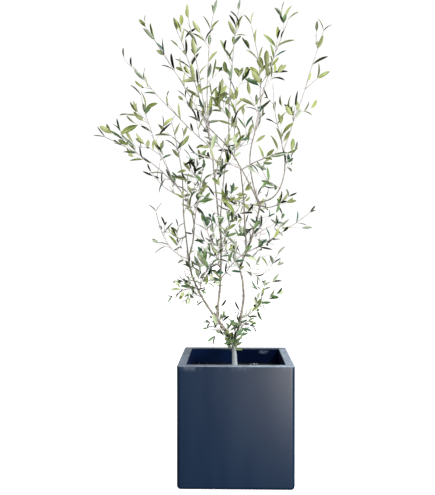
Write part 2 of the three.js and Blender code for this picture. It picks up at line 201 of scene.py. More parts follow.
SHOOTS = (
    shoot("top_left_shoot", "crossing_bough", 1, (-318, -130, 1590), (-10, -15, 30), 2, 70),
    shoot("upper_left_shoot", "centre_upper_bough", 0.96, (-222, 70, 1640), (5, 10, 50), 3, 85),
    shoot("top_left_centre_shoot", "centre_upper_bough", 0.98, (-170, -45, 1650), (0, -10, 5), 3, 70),
    shoot("top_centre_left_shoot", "centre_upper_bough", 1, (-80, 0, 1678), (-30, -10, 5), 3, 80),
    shoot("top_centre_shoot", "back_bough", 1, (12, 60, 1712), (-20, -20, 35), 4, 85),
    shoot("top_centre_right_shoot", "right_centre_bough", 1, (60, 150, 1690), (50, 5, -40), 3, 85),
    shoot("top_right_shoot", "right_centre_bough", 0.9, (196, 20, 1665), (-30, 10, -15), 3, 85),
    shoot("right_top_shoot", "right_upper_bough", 1, (318, -40, 1600), (-5, -10, -20), 2, 75),
    shoot("right_upper_shoot", "right_upper_bough", 0.94, (140, 60, 1435), (-15, 10, 10), 2, 70),
    shoot("left_top_shoot", "centre_upper_bough", 0.9, (-385, 55, 1500), (-20, 15, -5), 3, 80),
    shoot("left_upper_shoot", "left_upper_bough", 1, (-335, -110, 1360), (-30, 5, -35), 5, 90),
    shoot("far_left_shoot", "left_upper_bough", 0.97, (-480, -30, 1222), (60, -15, 30), 6, 70),
    shoot("left_mid_shoot", "left_back_bough", 0.8, (-325, 120, 1110), (-10, 0, -30), 2, 70),
    shoot("left_lower_shoot", "outer_left_bough", 0.97, (-290, -30, 955), (-30, -10, -65), 3, 60),
    shoot("left_low_sprig", "outer_left_bough", 0.5, (-220, -130, 650), (12, 5, 20), 3, 46),
    shoot("left_inner_sprig", "outer_left_bough", 0.42, (-80, -110, 765), (-10, 0, 25), 3, 55),
    shoot("centre_inner_sprig", "centre_bough", 0.5, (30, -70, 800), (0, -10, 10), 3, 60),
    shoot("right_inner_sprig", "right_stem", 0.86, (-25, -25, 790), (15, -5, 25), 2, 50),
    shoot("right_low_sprig", "right_stem", 0.3, (95, -35, 645), (25, 10, -20), 3, 50),
    shoot("right_mid_sprig", "right_stem", 0.98, (160, 60, 750), (-10, 5, -50), 3, 60),
    shoot("right_lower_shoot", "right_bough", 0.22, (275, -20, 950), (-15, 10, -30), 4, 70),
    shoot("right_side_shoot", "right_bough", 0.95, (185, -120, 1000), (0, -5, -35), 3, 70),
    shoot("foot_right_sprig", "trunk", 0.97, (45, -85, 560), (-5, 5, 20), 3, 45),
    shoot("foot_left_sprig", "left_stem", 0.55, (-100, -95, 535), (-5, 5, -10), 1, 40),
    shoot("foot_sprig", "trunk", 0.84, (15, -60, 495), (0, 0, 0), 1, 35),
    shoot("front_left_shoot", "front_bough", 1, (-150, -235, 1135), (-5, -15, 5), 4, 75),
    shoot("front_right_shoot", "front_bough", 0.96, (165, -240, 1130), (10, -35, 20), 3, 70),
    shoot("front_low_shoot", "front_bough", 0.5, (-70, -260, 990), (-25, 0, -15), 4, 80),
    shoot("back_left_shoot", "back_bough", 0.95, (-205, 285, 1435), (-20, 35, -15), 3, 90),
    shoot("back_right_shoot", "back_bough", 0.9, (110, 300, 1355), (10, 50, -10), 4, 90),
    shoot("back_low_shoot", "back_bough", 0.55, (110, 270, 990), (15, 5, -30), 4, 80),
    shoot("left_back_shoot", "left_back_bough", 1, (-255, 205, 1320), (5, 15, 15), 3, 85),
    shoot("left_back_low_shoot", "left_back_bough", 0.6, (-160, 235, 1065), (-5, 20, 0), 3, 80),
    shoot("centre_low_shoot", "centre_bough", 0.62, (-115, -110, 910), (-10, -15, 45), 4, 80),
    shoot("centre_right_shoot", "centre_bough", 0.86, (15, -75, 965), (5, 5, 45), 3, 80),
    shoot("right_back_shoot", "right_bough", 0.45, (160, 165, 915), (0, 10, 0), 3, 80),
    shoot("crossing_low_shoot", "crossing_bough", 0.55, (0, -130, 1335), (-5, -25, 0), 3, 75),
    shoot("left_front_shoot", "left_upper_bough", 0.5, (-110, -165, 1100), (-5, -15, -10), 4, 75),
    shoot("left_back_base_shoot", "left_back_bough", 0.35, (-255, 120, 875), (15, 25, -35), 2, 60),
    shoot("centre_upper_right_shoot", "centre_upper_bough", 0.6, (-15, -15, 1255), (-10, 0, 15), 2, 60),
    shoot("right_inner_shoot", "right_upper_bough", 0.5, (95, -130, 1085), (-15, -15, -30), 2, 65),
)


@dataclass(frozen=True)
class TrunkRule:
    """The trunk, from a flat cut at the soil to the fork."""

    foot: Triple = (-3 * MM, 0.0, 365.35 * MM)
    tip: Triple = (-8 * MM, 0.0, 470 * MM)
    sweep: Triple = (2.5 * MM, 0.0, 0.0)
    thick: Pair = (19 * MM, 17 * MM)
    flare: float = 5 * MM
    flare_height: float = 22 * MM
    ridges: int = 5
    ridge_depth: float = 0.35
    planted: float = 4 * MM


@dataclass(frozen=True)
class LimbRule:
    """How many sides the solids' limbs have, and how the room round a limb is measured."""

    shoot_sides: int = 4
    bough_sides: int = 6
    stem_sides: int = 8
    stem_over: float = 12 * MM
    lines: int = 8
    measured_at: float = 0.3

    def sides(self, limb: Limb) -> int:
        """Counts the sides of a limb's solid.

        Args:
            limb: The limb.

        Returns:
            The number of sides, which is highest for a thick stem.
        """
        if isinstance(limb, Shoot):
            return self.shoot_sides
        return self.stem_sides if limb.thick[0] > self.stem_over else self.bough_sides


@dataclass(frozen=True)
class TwigRule:
    """How side twigs stand on their stem."""

    of_stem: float = 0.7
    tip: float = 1.1 * MM
    lowest: float = 0.12
    highest: float = 0.86
    scatter: float = 0.5
    lean: float = 48.0
    lean_spread: float = 10.0
    length_spread: float = 0.2
    rise: float = 0.22
    shorter_at_top: float = 0.45
    lines: int = 3
    room: float = 5 * MM


@dataclass(frozen=True)
class LeafRule:
    """How pairs of leaves stand on a stem or twig, and how large they grow.

    The lean and the size change late along the way, by a power of the share. Some leaves are missing, more
    of them near the foot. A leaf stays clear of its own shoot beyond a first part of its length, by its
    berth on each side, which is a part of its width.
    """

    length: float = 56 * MM
    width: float = 14 * MM
    narrowest: float = 0.3
    lean: float = 48.0
    tip_lean: float = 28.0
    lean_late: int = 3
    lean_spread: float = 12.0
    turn_spread: float = 0.25
    size_spread: float = 0.16
    lift: float = 0.28
    roll: float = 45.0
    sunk: float = 0.3
    missing: float = 0.32
    barer_foot: float = 1.5
    tip_size: float = 0.72
    size_late: int = 4
    low_size: float = 0.68
    lowest: float = 0.5
    highest: float = 1.35
    room: float = 8 * MM
    room_to_wood: float = 2 * MM
    clearance: float = 0.35 * MM
    clear_from: float = 0.35
    berth: float = 0.5
    on_stem: Pair = (0.2, 0.985)
    stem_gap: float = 64 * MM
    on_twig: Pair = (0.42, 0.95)
    twig_gap: float = 44 * MM


@dataclass(frozen=True)
class Mass:
    """A mass of fine foliage: an egg-shaped space that fills with finer twigs and leaves.

    It is as full as it gets within half its spread, and its edge is where nothing more of it grows.
    """

    name: str
    centre: Triple
    spread: Triple
    fullness: float
    reach: float = 1.0
    leaf_scale: float = 1.0
    spread_out: float = 1.0
    edge: float = 1.5

    def at(self, place: Vector) -> float:
        """How full the mass is at a place, from its fullness in the middle to nothing outside."""
        off = [(place[k] - self.centre[k]) / self.spread[k] for k in range(3)]
        return self.fullness * clamp(self.edge - math.sqrt(sum(x * x for x in off)))


@dataclass(frozen=True)
class Sprout:
    """A short leafy sprout near the fork, which leaves its limb at a share of its length in a direction."""

    limb: str
    at: float
    toward: Triple
    reach: float
    pairs: int
    leaf_scale: float


@dataclass(frozen=True)
class FineRule:
    """The finer twigs and smaller leaves that fill in between, within the same reach.

    A twig stays clear of its own shoot from a share of its length after the carrier's surface on.
    """

    seed: int = 900
    trunk_seed: int = 899
    last_sprout_seed: int = 898
    gap: float = 12 * MM
    finer_gap: float = 15 * MM
    on_carrier: Pair = (0.08, 0.95)
    shortest: float = 18 * MM
    longest: float = 62 * MM
    shorter_each_time: float = 0.55
    thick: Pair = (1.6 * MM, 0.9 * MM)
    of_carrier: float = 1.6
    lean: float = 52.0
    lean_spread: float = 16.0
    rise: float = 0.15
    crook: float = 0.22
    room: float = 1.5 * MM
    clear_after: float = 0.3
    clear_latest: float = 0.9
    bare: float = 0.35
    leaf_gap: float = 22 * MM
    leaf_size: float = 0.76
    leaf_breadth: float = 1.3
    leaf_lean: Pair = (50.0, 26.0)
    leaf_lean_spread: float = 14.0
    leaf_turn_spread: float = 0.4
    last_leaf: float = 0.96
    size_spread: float = 0.3
    leaf_room: float = 3 * MM
    missing: float = 0.31
    orders: int = 2
    sprout_berth: float = 0.1
    sprouts: tuple[Sprout, ...] = (
        Sprout("trunk", 0.68, (0.3, -0.5, 0.85), 22 * MM, 3, 1.1),
        Sprout("trunk", 0.72, (-0.3, -0.55, 0.85), 22 * MM, 3, 1.1),
        Sprout("trunk", 0.8, (0.05, -0.7, 0.75), 20 * MM, 3, 1.1),
        Sprout("trunk", 0.88, (0.6, -0.5, 0.7), 18 * MM, 2, 1.0),
        Sprout("trunk", 0.9, (-0.7, -0.5, 0.6), 18 * MM, 3, 1.0),
        Sprout("trunk", 0.97, (-0.1, -0.8, 0.6), 16 * MM, 3, 1.0),
        Sprout("left_stem", 0.12, (-0.4, -0.8, 0.5), 16 * MM, 3, 1.0),
        Sprout("left_stem", 0.26, (0.0, -0.85, 0.45), 16 * MM, 3, 1.0),
        Sprout("left_stem", 0.38, (-0.5, -0.8, 0.3), 14 * MM, 2, 1.0),
        Sprout("left_stem", 0.5, (0.4, -0.8, 0.4), 14 * MM, 2, 1.0),
        Sprout("left_stem", 0.66, (-0.6, -0.7, 0.3), 14 * MM, 2, 1.0),
        Sprout("left_stem", 0.86, (0.6, -0.5, 0.7), 16 * MM, 2, 1.0),
        Sprout("right_stem", 0.17, (0.1, -0.9, 0.4), 14 * MM, 3, 1.1),
        Sprout("right_stem", 0.24, (-0.3, -0.8, 0.5), 12 * MM, 2, 1.0),
    )
    masses: tuple[Mass, ...] = (
        Mass("heart", (-0.04, 0.0, 0.91), (0.13, 0.26, 0.13), 0.13, 1.0, 1.0, 1.2),
        Mass("heart_top", (-0.04, 0.0, 1.1), (0.05, 0.2, 0.05), 0.2, 1.0, 1.0, 1.2),
        Mass("upper_middle", (0.05, 0.0, 1.455), (0.07, 0.22, 0.05), 0.72, 1.0, 1.1, 0.9),
        Mass("middle_left", (-0.05, 0.0, 1.35), (0.04, 0.2, 0.05), 0.8),
        Mass("top_left", (-0.15, 0.0, 1.65), (0.04, 0.2, 0.05), 0.4, 1.0, 1.1, 0.6),
        Mass("top_right", (0.1, 0.0, 1.65), (0.09, 0.2, 0.05), 0.55, 1.0, 1.1, 0.8),
        Mass("upper_right", (0.29, 0.0, 1.55), (0.05, 0.12, 0.06), 0.45, 1.0, 1.2, 0.6),
        Mass("upper_left_middle", (-0.22, 0.0, 1.57), (0.06, 0.15, 0.04), 0.5, 1.0, 1.1, 0.6),
        Mass("upper_left", (-0.36, 0.05, 1.47), (0.05, 0.1, 0.04), 0.5, 1.0, 1.1, 0.6),
        Mass("left_gap", (-0.26, -0.05, 1.34), (0.05, 0.15, 0.05), 0.05, 1.0, 1.1),
        Mass("left_of_heart", (-0.15, 0.0, 1.09), (0.045, 0.24, 0.05), 1.0, 1.5),
        Mass("far_left", (-0.33, -0.05, 1.21), (0.06, 0.12, 0.05), 0.6, 1.0, 1.2),
        Mass("low_left", (-0.13, -0.02, 0.735), (0.05, 0.18, 0.09), 1.2, 1.2),
        Mass("low_middle", (-0.03, 0.0, 0.79), (0.09, 0.18, 0.05), 0.55, 1.0, 1.0, 1.2),
        Mass("right_of_heart", (0.06, 0.0, 0.85), (0.045, 0.2, 0.1), 0.5, 1.0, 1.0, 1.2),
        Mass("low_right", (0.12, -0.03, 0.665), (0.06, 0.12, 0.065), 1.05, 1.4, 1.2),
        Mass("foot_right", (0.024, -0.04, 0.54), (0.035, 0.1, 0.03), 1.1, 0.8, 1.2, 1.3),
        Mass("foot_left", (-0.035, -0.01, 0.53), (0.035, 0.08, 0.06), 1.2, 0.6, 1.3, 0.8),
        Mass("fork", (-0.003, 0.0, 0.455), (0.03, 0.05, 0.025), 1.0, 0.5, 1.3, 0.8),
        Mass("right_side", (0.2, 0.0, 1.14), (0.06, 0.15, 0.05), 0.6),
        Mass("right_upper", (0.2, 0.0, 1.3), (0.04, 0.15, 0.06), 0.22),
    )


class Axis:
    """A limb's middle line, bent once, with its thickness along the way."""

    steps: int = 200
    straight: float = MM * MM

    def __init__(self, start: Place, tip: Place, sweep: Triple, thick: Pair, turn: float) -> None:
        """Lays the line from a start to a tip.

        Args:
            start: Where the limb leaves its parent's middle line.
            tip: Where it ends.
            sweep: How far the line is pulled aside halfway.
            thick: The diameter at each end.
            turn: How far the directions across the line are turned round it.
        """
        self.start = Vector(start)
        self.end = Vector(tip)
        self.pull = (self.start + self.end) / 2 + Vector(sweep)
        self.thick = thick
        self.turn = turn
        bend = (self.pull - self.start).cross(self.end - self.pull)
        self.bend = bend.normalized() if bend.length > self.straight else None

    def point(self, share: float) -> Vector:
        """The point at a share of the way."""
        rest = 1 - share
        return self.start * rest * rest + self.pull * (2 * rest * share) + self.end * share * share

    def along(self, share: float) -> Vector:
        """The direction of the line at a share of the way."""
        return ((self.pull - self.start) * (1 - share) + (self.end - self.pull) * share).normalized()

    def radius(self, share: float) -> float:
        """Half the thickness at a share of the way."""
        return lerp(*self.thick, share) / 2

    def lines(self, count: int) -> list[Line]:
        """The line as a number of short straight ones."""
        points = [self.point(i / count) for i in range(count + 1)]
        return list(zip(points, points[1:]))

    def length(self) -> float:
        """The length of the line."""
        return sum((last - first).length for first, last in self.lines(self.steps))

    def outward(self, share: float, turn: float) -> Vector:
        """Finds a direction across the line.

        Args:
            share: The share of the way.
            turn: The turn round the line.

        Returns:
            The direction.
        """
        along = self.along(share)
        across = (self.bend or FRONT.cross(along)).normalized()
        across.rotate(Quaternion(along, self.turn))
        return across * math.cos(turn) + across.cross(along) * math.sin(turn)


@dataclass
class Leaf:
    """One leaf: where it stands, which way it points and faces, its size, and its spray."""

    base: Vector
    direction: Vector
    face: Vector
    length: float
    width: float
    spray: int

    def tip(self) -> Vector:
        """The far end of the leaf."""
        return self.base + self.direction * self.length


@dataclass
class Strand:
    """A stretch of wood as points with a radius at each."""

    points: list[Vector]
    radii: list[float]


class CrownSpace:
    """What already stands in the crown, so that each shoot keeps to a space of its own.

    A row of its table is a line along which something stands: its start and end, how far the thing reaches
    beside it, how near the owner's later leaves may come, and the owner's number.
    """

    starts: slice = slice(0, 3)
    ends: slice = slice(3, 6)
    reach_column: int = 6
    room_column: int = 7
    owner_column: int = 8
    shortest: float = 1e-12
    parallel: float = 1e-18

    def __init__(self) -> None:
        """Starts with nothing taken."""
        self.names: dict[str, int] = {}
        self.rows: list[tuple[float, ...]] = []
        self.table = np.zeros((0, self.owner_column + 1))

    def take(self, owner: str, lines: list[Line], radius: float, own_room: float) -> None:
        """Notes an owner's lines, how far the thing reaches beside them, and its room to its own leaves."""
        number = self.names.setdefault(owner, len(self.names))
        self.rows += [(*start, *end, radius, own_room, number) for start, end in lines]

    def has_room(self, owner: str, lines: list[Line], radius: float, room: float,
                 own_lines: list[Line] | tuple[()] = ()) -> bool:
        """Tells whether lines keep room to all that stands, and own_lines keep clear of the owner's own.

        Args:
            owner: The limb or shoot that the lines belong to.
            lines: Lines that are tested against what others have taken.
            radius: How far the new thing reaches beside its lines.
            room: The room to keep to what others have taken.
            own_lines: Lines that are tested against what the owner has taken.

        Returns:
            True if there is room.
        """
        if len(self.rows) != len(self.table):
            self.table = np.array(self.rows)
        own = self.table[:, self.owner_column] == self.names.get(owner, -1)
        others = self.table[~own]
        mine = self.table[own]
        needed = others[:, self.reach_column] + radius + room
        if any(self._crowded(line, others, needed) for line in lines):
            return False
        return not any(self._crowded(line, mine, mine[:, self.room_column]) for line in own_lines)

    def _crowded(self, line: Line, table: np.ndarray, needed: np.ndarray) -> bool:
        """Tells whether a line comes nearer to a line of the table than it needs to keep.

        Args:
            line: The line.
            table: Rows of the table.
            needed: The distance to keep to each of them.

        Returns:
            True if it comes too near to one.
        """
        if not len(table):
            return False
        first = np.array(line[0])
        step = np.array(line[1]) - first
        starts = table[:, self.starts]
        steps = table[:, self.ends] - starts
        apart = first - starts
        own = max(step @ step, self.shortest)
        long = np.maximum((steps * steps).sum(1), self.shortest)
        toward = (steps * apart).sum(1)
        back = apart @ step
        both = steps @ step
        spread = own * long - both * both
        crossing = spread > self.parallel
        share = np.clip((both * toward - back * long) / np.where(crossing, spread, 1), 0, 1)
        share = np.where(crossing, share, 0)
        other = (both * share + toward) / long
        share = np.where(other < 0, np.clip(-back / own, 0, 1), share)
        share = np.where(other > 1, np.clip((both - back) / own, 0, 1), share)
        other = np.clip(other, 0, 1)
        gap = apart + share[:, None] * step - other[:, None] * steps
        return bool(((gap * gap).sum(1) < needed * needed).any())


class OliveGrowth:
    """Grows the tree's limbs, twigs and leaves by the rule of the solids, and then more finely."""

    def __init__(self) -> None:
        """Grows the whole crown."""
        self.trunk = TrunkRule()
        self.limb = LimbRule()
        self.twig = TwigRule()
        self.leaf = LeafRule()
        self.fine = FineRule()
        self.space = CrownSpace()
        self.axes: dict[str, Axis] = {}
        self.twigs: dict[str, list[Axis]] = {}
        self.fine_twigs: list[Axis] = []
        self.filled: Counter[str] = Counter()
        self.leaves: list[Leaf] = []
        self.sprays = 0
        self._lay_out_limbs()
        draws = [Draws(SHOOT_SEED + i) for i in range(len(SHOOTS))]
        for one, source in zip(SHOOTS, draws):
            self.twigs[one.name] = self._twigs_on(one, source)
        for one, source in zip(SHOOTS, draws):
            self._grow_leaves(one, source)
        for i, sprout in enumerate(self.fine.sprouts):
            self._grow_sprout(sprout, Draws(self.fine.last_sprout_seed - i))
        for i, one in enumerate((*SHOOTS, *BOUGHS)):
            source = Draws(self.fine.seed + i)
            for carrier in (self.axes[one.name], *self.twigs.get(one.name, ())):
                self._grow_finer(one.name, carrier, 0, source)
        self._grow_finer("trunk", self.axes["trunk"], 0, Draws(self.fine.trunk_seed))
        for name, count in self.filled.items():
            log.info("finer twigs in %s: %d", name, count)

    def _lay_out_limbs(self) -> None:
        """Lays the middle lines of the trunk, the boughs and the shoots' stems."""
        trunk = self.trunk
        rule = self.limb
        self.axes["trunk"] = Axis(trunk.foot, trunk.tip, trunk.sweep, trunk.thick, 0.0)
        for limb in (*BOUGHS, *SHOOTS):
            start = self.axes[limb.parent].point(limb.at)
            self.axes[limb.name] = Axis(start, limb.tip, limb.sweep, limb.thick, math.pi / rule.sides(limb))
        for name, axis in self.axes.items():
            radius = axis.radius(rule.measured_at)
            if name == "trunk":
                height = rule.measured_at * (trunk.tip[2] - trunk.foot[2])
                radius += trunk.flare * math.exp(-height / trunk.flare_height) * (1 + trunk.ridge_depth)
            self.space.take(name, axis.lines(rule.lines), radius, self.leaf.room_to_wood)

    def _place_twig(self, stem: Axis, share: float, turn: float, length: float, source: Draws) -> Axis:
        """Places a side twig of a stem, which leans out and then rises.

        Args:
            stem: The stem's middle line.
            share: Where on the stem it stands.
            turn: The turn round the stem at which it leans out.
            length: How long it is before it rises.
            source: The draws.

        Returns:
            The twig's middle line.
        """
        rule = self.twig
        lean = math.radians(source.around(rule.lean, rule.lean_spread))
        direction = stem.along(share) * math.cos(lean) + stem.outward(share, turn) * math.sin(lean)
        point = stem.point(share)
        tip = point + direction * length + UP * (length * rule.rise)
        thick = (2 * rule.of_stem * stem.radius(share), rule.tip)
        return Axis(point, tip, (0, 0, 0), thick, source.next() * QUARTER_TURN)

    def _twigs_on(self, one: Shoot, source: Draws) -> list[Axis]:
        """Grows the side twigs of a shoot.

        Args:
            one: The shoot.
            source: The draws.

        Returns:
            The twigs that find room in the crown.
        """
        rule = self.twig
        stem = self.axes[one.name]
        twigs = []
        start_turn = source.next() * FULL_TURN
        for i in range(one.twigs):
            share = lerp(rule.lowest, rule.highest, (i + rule.scatter * source.next()) / one.twigs)
            length = one.reach * (1 - rule.shorter_at_top * share) * source.around(1, rule.length_spread)
            twig = self._place_twig(stem, share, start_turn + i * TWIG_TURN, length, source)
            lines = twig.lines(rule.lines)
            if self.space.has_room(one.name, lines, twig.radius(0), rule.room):
                self.space.take(one.name, lines, twig.radius(0), self.leaf.room_to_wood)
                twigs.append(twig)
        return twigs

    def _place_leaf(self, axis: Axis, share: float, turn: float, lean: float, size: float,
                    source: Draws) -> Leaf:
        """Places a leaf on an axis. It leans out, and up towards the light.

        Args:
            axis: The middle line of the stem or twig.
            share: Where on the axis it stands.
            turn: The turn round the axis at which it leans out.
            lean: How far it leans out.
            size: How large it is.
            source: The draws.

        Returns:
            The leaf.
        """
        rule = self.leaf
        along = axis.along(share)
        direction = along * math.cos(lean) + axis.outward(share, turn) * math.sin(lean)
        direction += UP * (rule.lift * self._sunlit(axis.point(share).z))
        direction.normalize()
        roll = math.radians(source.around(0, rule.roll))
        face = (along - direction * along.dot(direction)).normalized()
        face.rotate(Quaternion(direction, roll))
        base = axis.point(share) - direction * (rule.sunk * axis.radius(share))
        width = rule.width * (rule.narrowest + (1 - rule.narrowest) * size)
        return Leaf(base, direction, face, rule.length * size, width, self.sprays)

    def _sunlit(self, height: float) -> float:
        """How much sun reaches a height, from none low down to all of it at the top."""
        return clamp((height - self.leaf.lowest) / (self.leaf.highest - self.leaf.lowest))

    def _size_at(self, height: float) -> float:
        """How large leaves grow at a height: those in the sun at the top are the longest."""
        return lerp(self.leaf.low_size, 1, self._sunlit(height))

    def _leaves_on(self, axis: Axis, ends: Pair, gap: float, source: Draws) -> list[Leaf]:
        """Draws the leaves of an axis: pairs that turn a quarter at each node, and a last pair at the tip.

        Args:
            axis: The middle line of the stem or twig.
            ends: The shares of the way between which they stand.
            gap: How far the pairs are apart.
            source: The draws.

        Returns:
            The leaves, without those that are missing.
        """
        rule = self.leaf
        leaves = []
        self.sprays += 1
        nodes = max(1, int(axis.length() * (ends[1] - ends[0]) / gap + 0.5))
        for node in range(nodes + 1):
            share = lerp(*ends, node / nodes)
            mean_lean = lerp(rule.lean, rule.tip_lean, share**rule.lean_late)
            mean_size = lerp(1, rule.tip_size, share**rule.size_late) * self._size_at(axis.point(share).z)
            for side in PAIR_TURNS:
                turn = source.around((node + 0.5) * QUARTER_TURN + side, rule.turn_spread)
                lean = math.radians(source.around(mean_lean, rule.lean_spread))
                size = mean_size * source.around(1, rule.size_spread)
                leaf = self._place_leaf(axis, share, turn, lean, size, source)
                if source.next() >= rule.missing * (rule.barer_foot - share):
                    leaves.append(leaf)
        return leaves

    def _keep_leaf(self, owner: str, leaf: Leaf, room: float, berth: float) -> None:
        """Adds a leaf to the crown if it finds room there.

        Args:
            owner: The limb or shoot that the leaf belongs to.
            leaf: The leaf.
            room: How near the owner's later leaves may come.
            berth: The part of its width that it keeps clear on each side of its midrib.
        """
        outer = (leaf.base.lerp(leaf.tip(), self.leaf.clear_from), leaf.tip())
        whole = (leaf.base, leaf.tip())
        half = leaf.width * berth
        if self.space.has_room(owner, [whole], half, self.leaf.clearance, [outer]):
            self.space.take(owner, [outer], half, room)
            self.leaves.append(leaf)

    def _grow_leaves(self, one: Shoot, source: Draws) -> None:
        """Grows the leaves of a shoot's stem and twigs.

        Args:
            one: The shoot.
            source: The draws.
        """
        rule = self.leaf
        wanted = self._leaves_on(self.axes[one.name], rule.on_stem, rule.stem_gap, source)
        for twig in self.twigs[one.name]:
            wanted += self._leaves_on(twig, rule.on_twig, rule.twig_gap, source)
        for leaf in wanted:
            self._keep_leaf(one.name, leaf, rule.room, rule.berth)

    def _fullest(self, place: Vector) -> Mass:
        """The mass that fills a place the most."""
        return max(self.fine.masses, key=lambda mass: mass.at(place))

    def _grow_sprout(self, sprout: Sprout, source: Draws) -> None:
        """Grows a sprout on its limb, with a few leaves.

        Args:
            sprout: The sprout.
            source: The draws.
        """
        rule = self.fine
        limb = self.axes[sprout.limb]
        point = limb.point(sprout.at)
        reach = limb.radius(sprout.at) + sprout.reach
        tip = point + Vector(sprout.toward).normalized() * reach
        twig = Axis(point, tip, (0, 0, 0), rule.thick, 0.0)
        self.space.take(sprout.limb, twig.lines(1), twig.radius(0), self.leaf.clearance)
        self.fine_twigs.append(twig)
        self._leaf_fine_twig(sprout.limb, twig, sprout.pairs, sprout.leaf_scale, rule.sprout_berth, source)

    def _place_fine_twig(self, carrier: Axis, share: float, turn: float, lean: float, length: float,
                         source: Draws) -> Axis:
        """Places a finer twig on the stem or twig that carries it. It is a little crooked and rises.

        Args:
            carrier: The middle line of what carries it.
            share: Where on the carrier it stands.
            turn: The turn round the carrier at which it leans out.
            lean: How far it leans out.
            length: How far it reaches beyond the carrier's surface.
            source: The draws.

        Returns:
            The twig's middle line.
        """
        rule = self.fine
        point = carrier.point(share)
        direction = carrier.along(share) * math.cos(lean) + carrier.outward(share, turn) * math.sin(lean)
        reach = carrier.radius(share) + length
        tip = point + direction * reach + UP * (rule.rise * reach)
        thick = (min(rule.thick[0], rule.of_carrier * carrier.radius(share)), rule.thick[1])
        crook = Vector([source.around(0, rule.crook * reach) for _ in range(3)])
        return Axis(point, tip, crook, thick, 0.0)

    def _grow_finer(self, owner: str, carrier: Axis, order: int, source: Draws) -> None:
        """Grows finer twigs on a stem or twig, with small leaves and still finer twigs on them.

        Args:
            owner: The limb or shoot that the twigs belong to.
            carrier: The stem or twig that carries them.
            order: How often the twigs have forked before.
            source: The draws.
        """
        rule = self.fine
        gap = rule.gap if order == 0 else rule.finer_gap
        count = int(carrier.length() / gap)
        turn = source.next() * FULL_TURN
        for i in range(count):
            share = lerp(*rule.on_carrier, (i + source.next()) / count)
            turn += TWIG_TURN
            wanted = source.next()
            length = source.between(rule.shortest, rule.longest) * rule.shorter_each_time**order
            lean = math.radians(source.around(rule.lean, rule.lean_spread))
            bare = source.next() < rule.bare
            mass = self._fullest(carrier.point(share))
            if wanted > mass.at(carrier.point(share)):
                continue
            length *= mass.reach
            lean *= mass.spread_out
            twig = self._place_fine_twig(carrier, share, turn, lean, length, source)
            surface = carrier.radius(share) / (carrier.radius(share) + length)
            lines = [(twig.point(surface), twig.end)]
            outer = [(twig.point(min(surface + rule.clear_after, rule.clear_latest)), twig.end)]
            if not self.space.has_room(owner, lines, twig.radius(0), rule.room, outer):
                continue
            self.space.take(owner, lines, twig.radius(0), self.leaf.clearance)
            self.fine_twigs.append(twig)
            self.filled[mass.name] += 1
            if order + 1 < rule.orders:
                self._grow_finer(owner, twig, order + 1, source)
            if not bare:
                pairs = max(1, round(length / (rule.leaf_gap * mass.leaf_scale)))
                self._leaf_fine_twig(owner, twig, pairs, mass.leaf_scale, self.leaf.berth, source)

    def _leaf_fine_twig(self, owner: str, twig: Axis, pairs: int, scale: float, berth: float,
                        source: Draws) -> None:
        """Grows the small leaves of a finer twig, in pairs up to its tip.

        Args:
            owner: The limb or shoot that the leaves belong to.
            twig: The twig's middle line.
            pairs: How many pairs it carries.
            scale: How large the leaves are beside other small ones.
            berth: The part of its width that a leaf keeps clear on each side of its midrib.
            source: The draws.
        """
        rule = self.fine
        self.sprays += 1
        for node in range(pairs):
            share = (node + 1) / pairs * rule.last_leaf
            for side in PAIR_TURNS:
                turn = source.around(node * QUARTER_TURN + side, rule.leaf_turn_spread)
                lean = math.radians(source.around(lerp(*rule.leaf_lean, share), rule.leaf_lean_spread))
                mean_size = rule.leaf_size * scale * self._size_at(twig.point(share).z)
                size = mean_size * source.around(1, rule.size_spread)
                leaf = self._place_leaf(twig, share, turn, lean, size, source)
                leaf.width *= rule.leaf_breadth
                if source.next() >= rule.missing:
                    self._keep_leaf(owner, leaf, rule.leaf_room, berth)


class Sway:
    """The slight crookedness of grown wood: a shift that depends on the place alone, so nothing comes apart.

    The slow and the quick shift each have a frequency and a size.
    """

    seed: int = 1795876389
    slow: Pair = (9.0, 3.2 * MM)
    quick: Pair = (34.0, 0.9 * MM)
    fades_above: float = 0.365
    fades_over: float = 0.1

    @classmethod
    def start(cls) -> None:
        """Seeds the noise, which would start from the clock otherwise, so that each run is the same."""
        noise.seed_set(cls.seed)

    @classmethod
    def moved(cls, place: Vector) -> Vector:
        """Shifts a place in the crown from its drawn line.

        Args:
            place: The place.

        Returns:
            The shifted place.
        """
        fade = clamp((place.z - cls.fades_above) / cls.fades_over)
        shift = noise.noise_vector(place * cls.slow[0]) * cls.slow[1]
        shift += noise.noise_vector(place * cls.quick[0]) * cls.quick[1]
        return place + shift * fade


def add_node(tree: bpy.types.NodeTree, kind: str, inputs: dict, **settings: str) -> bpy.types.Node:
    """Adds a shader node to a tree.

    Args:
        tree: The node tree.
        kind: The kind of node.
        inputs: The value, or the other node's output, for each input by its name or number.
        **settings: The node's own settings.

    Returns:
        The node.
    """
    node = tree.nodes.new(kind)
    for name, setting in settings.items():
        setattr(node, name, setting)
    for key, value in inputs.items():
        if isinstance(value, Socket):
            tree.links.new(value, node.inputs[key])
        else:
            node.inputs[key].default_value = value
    return node


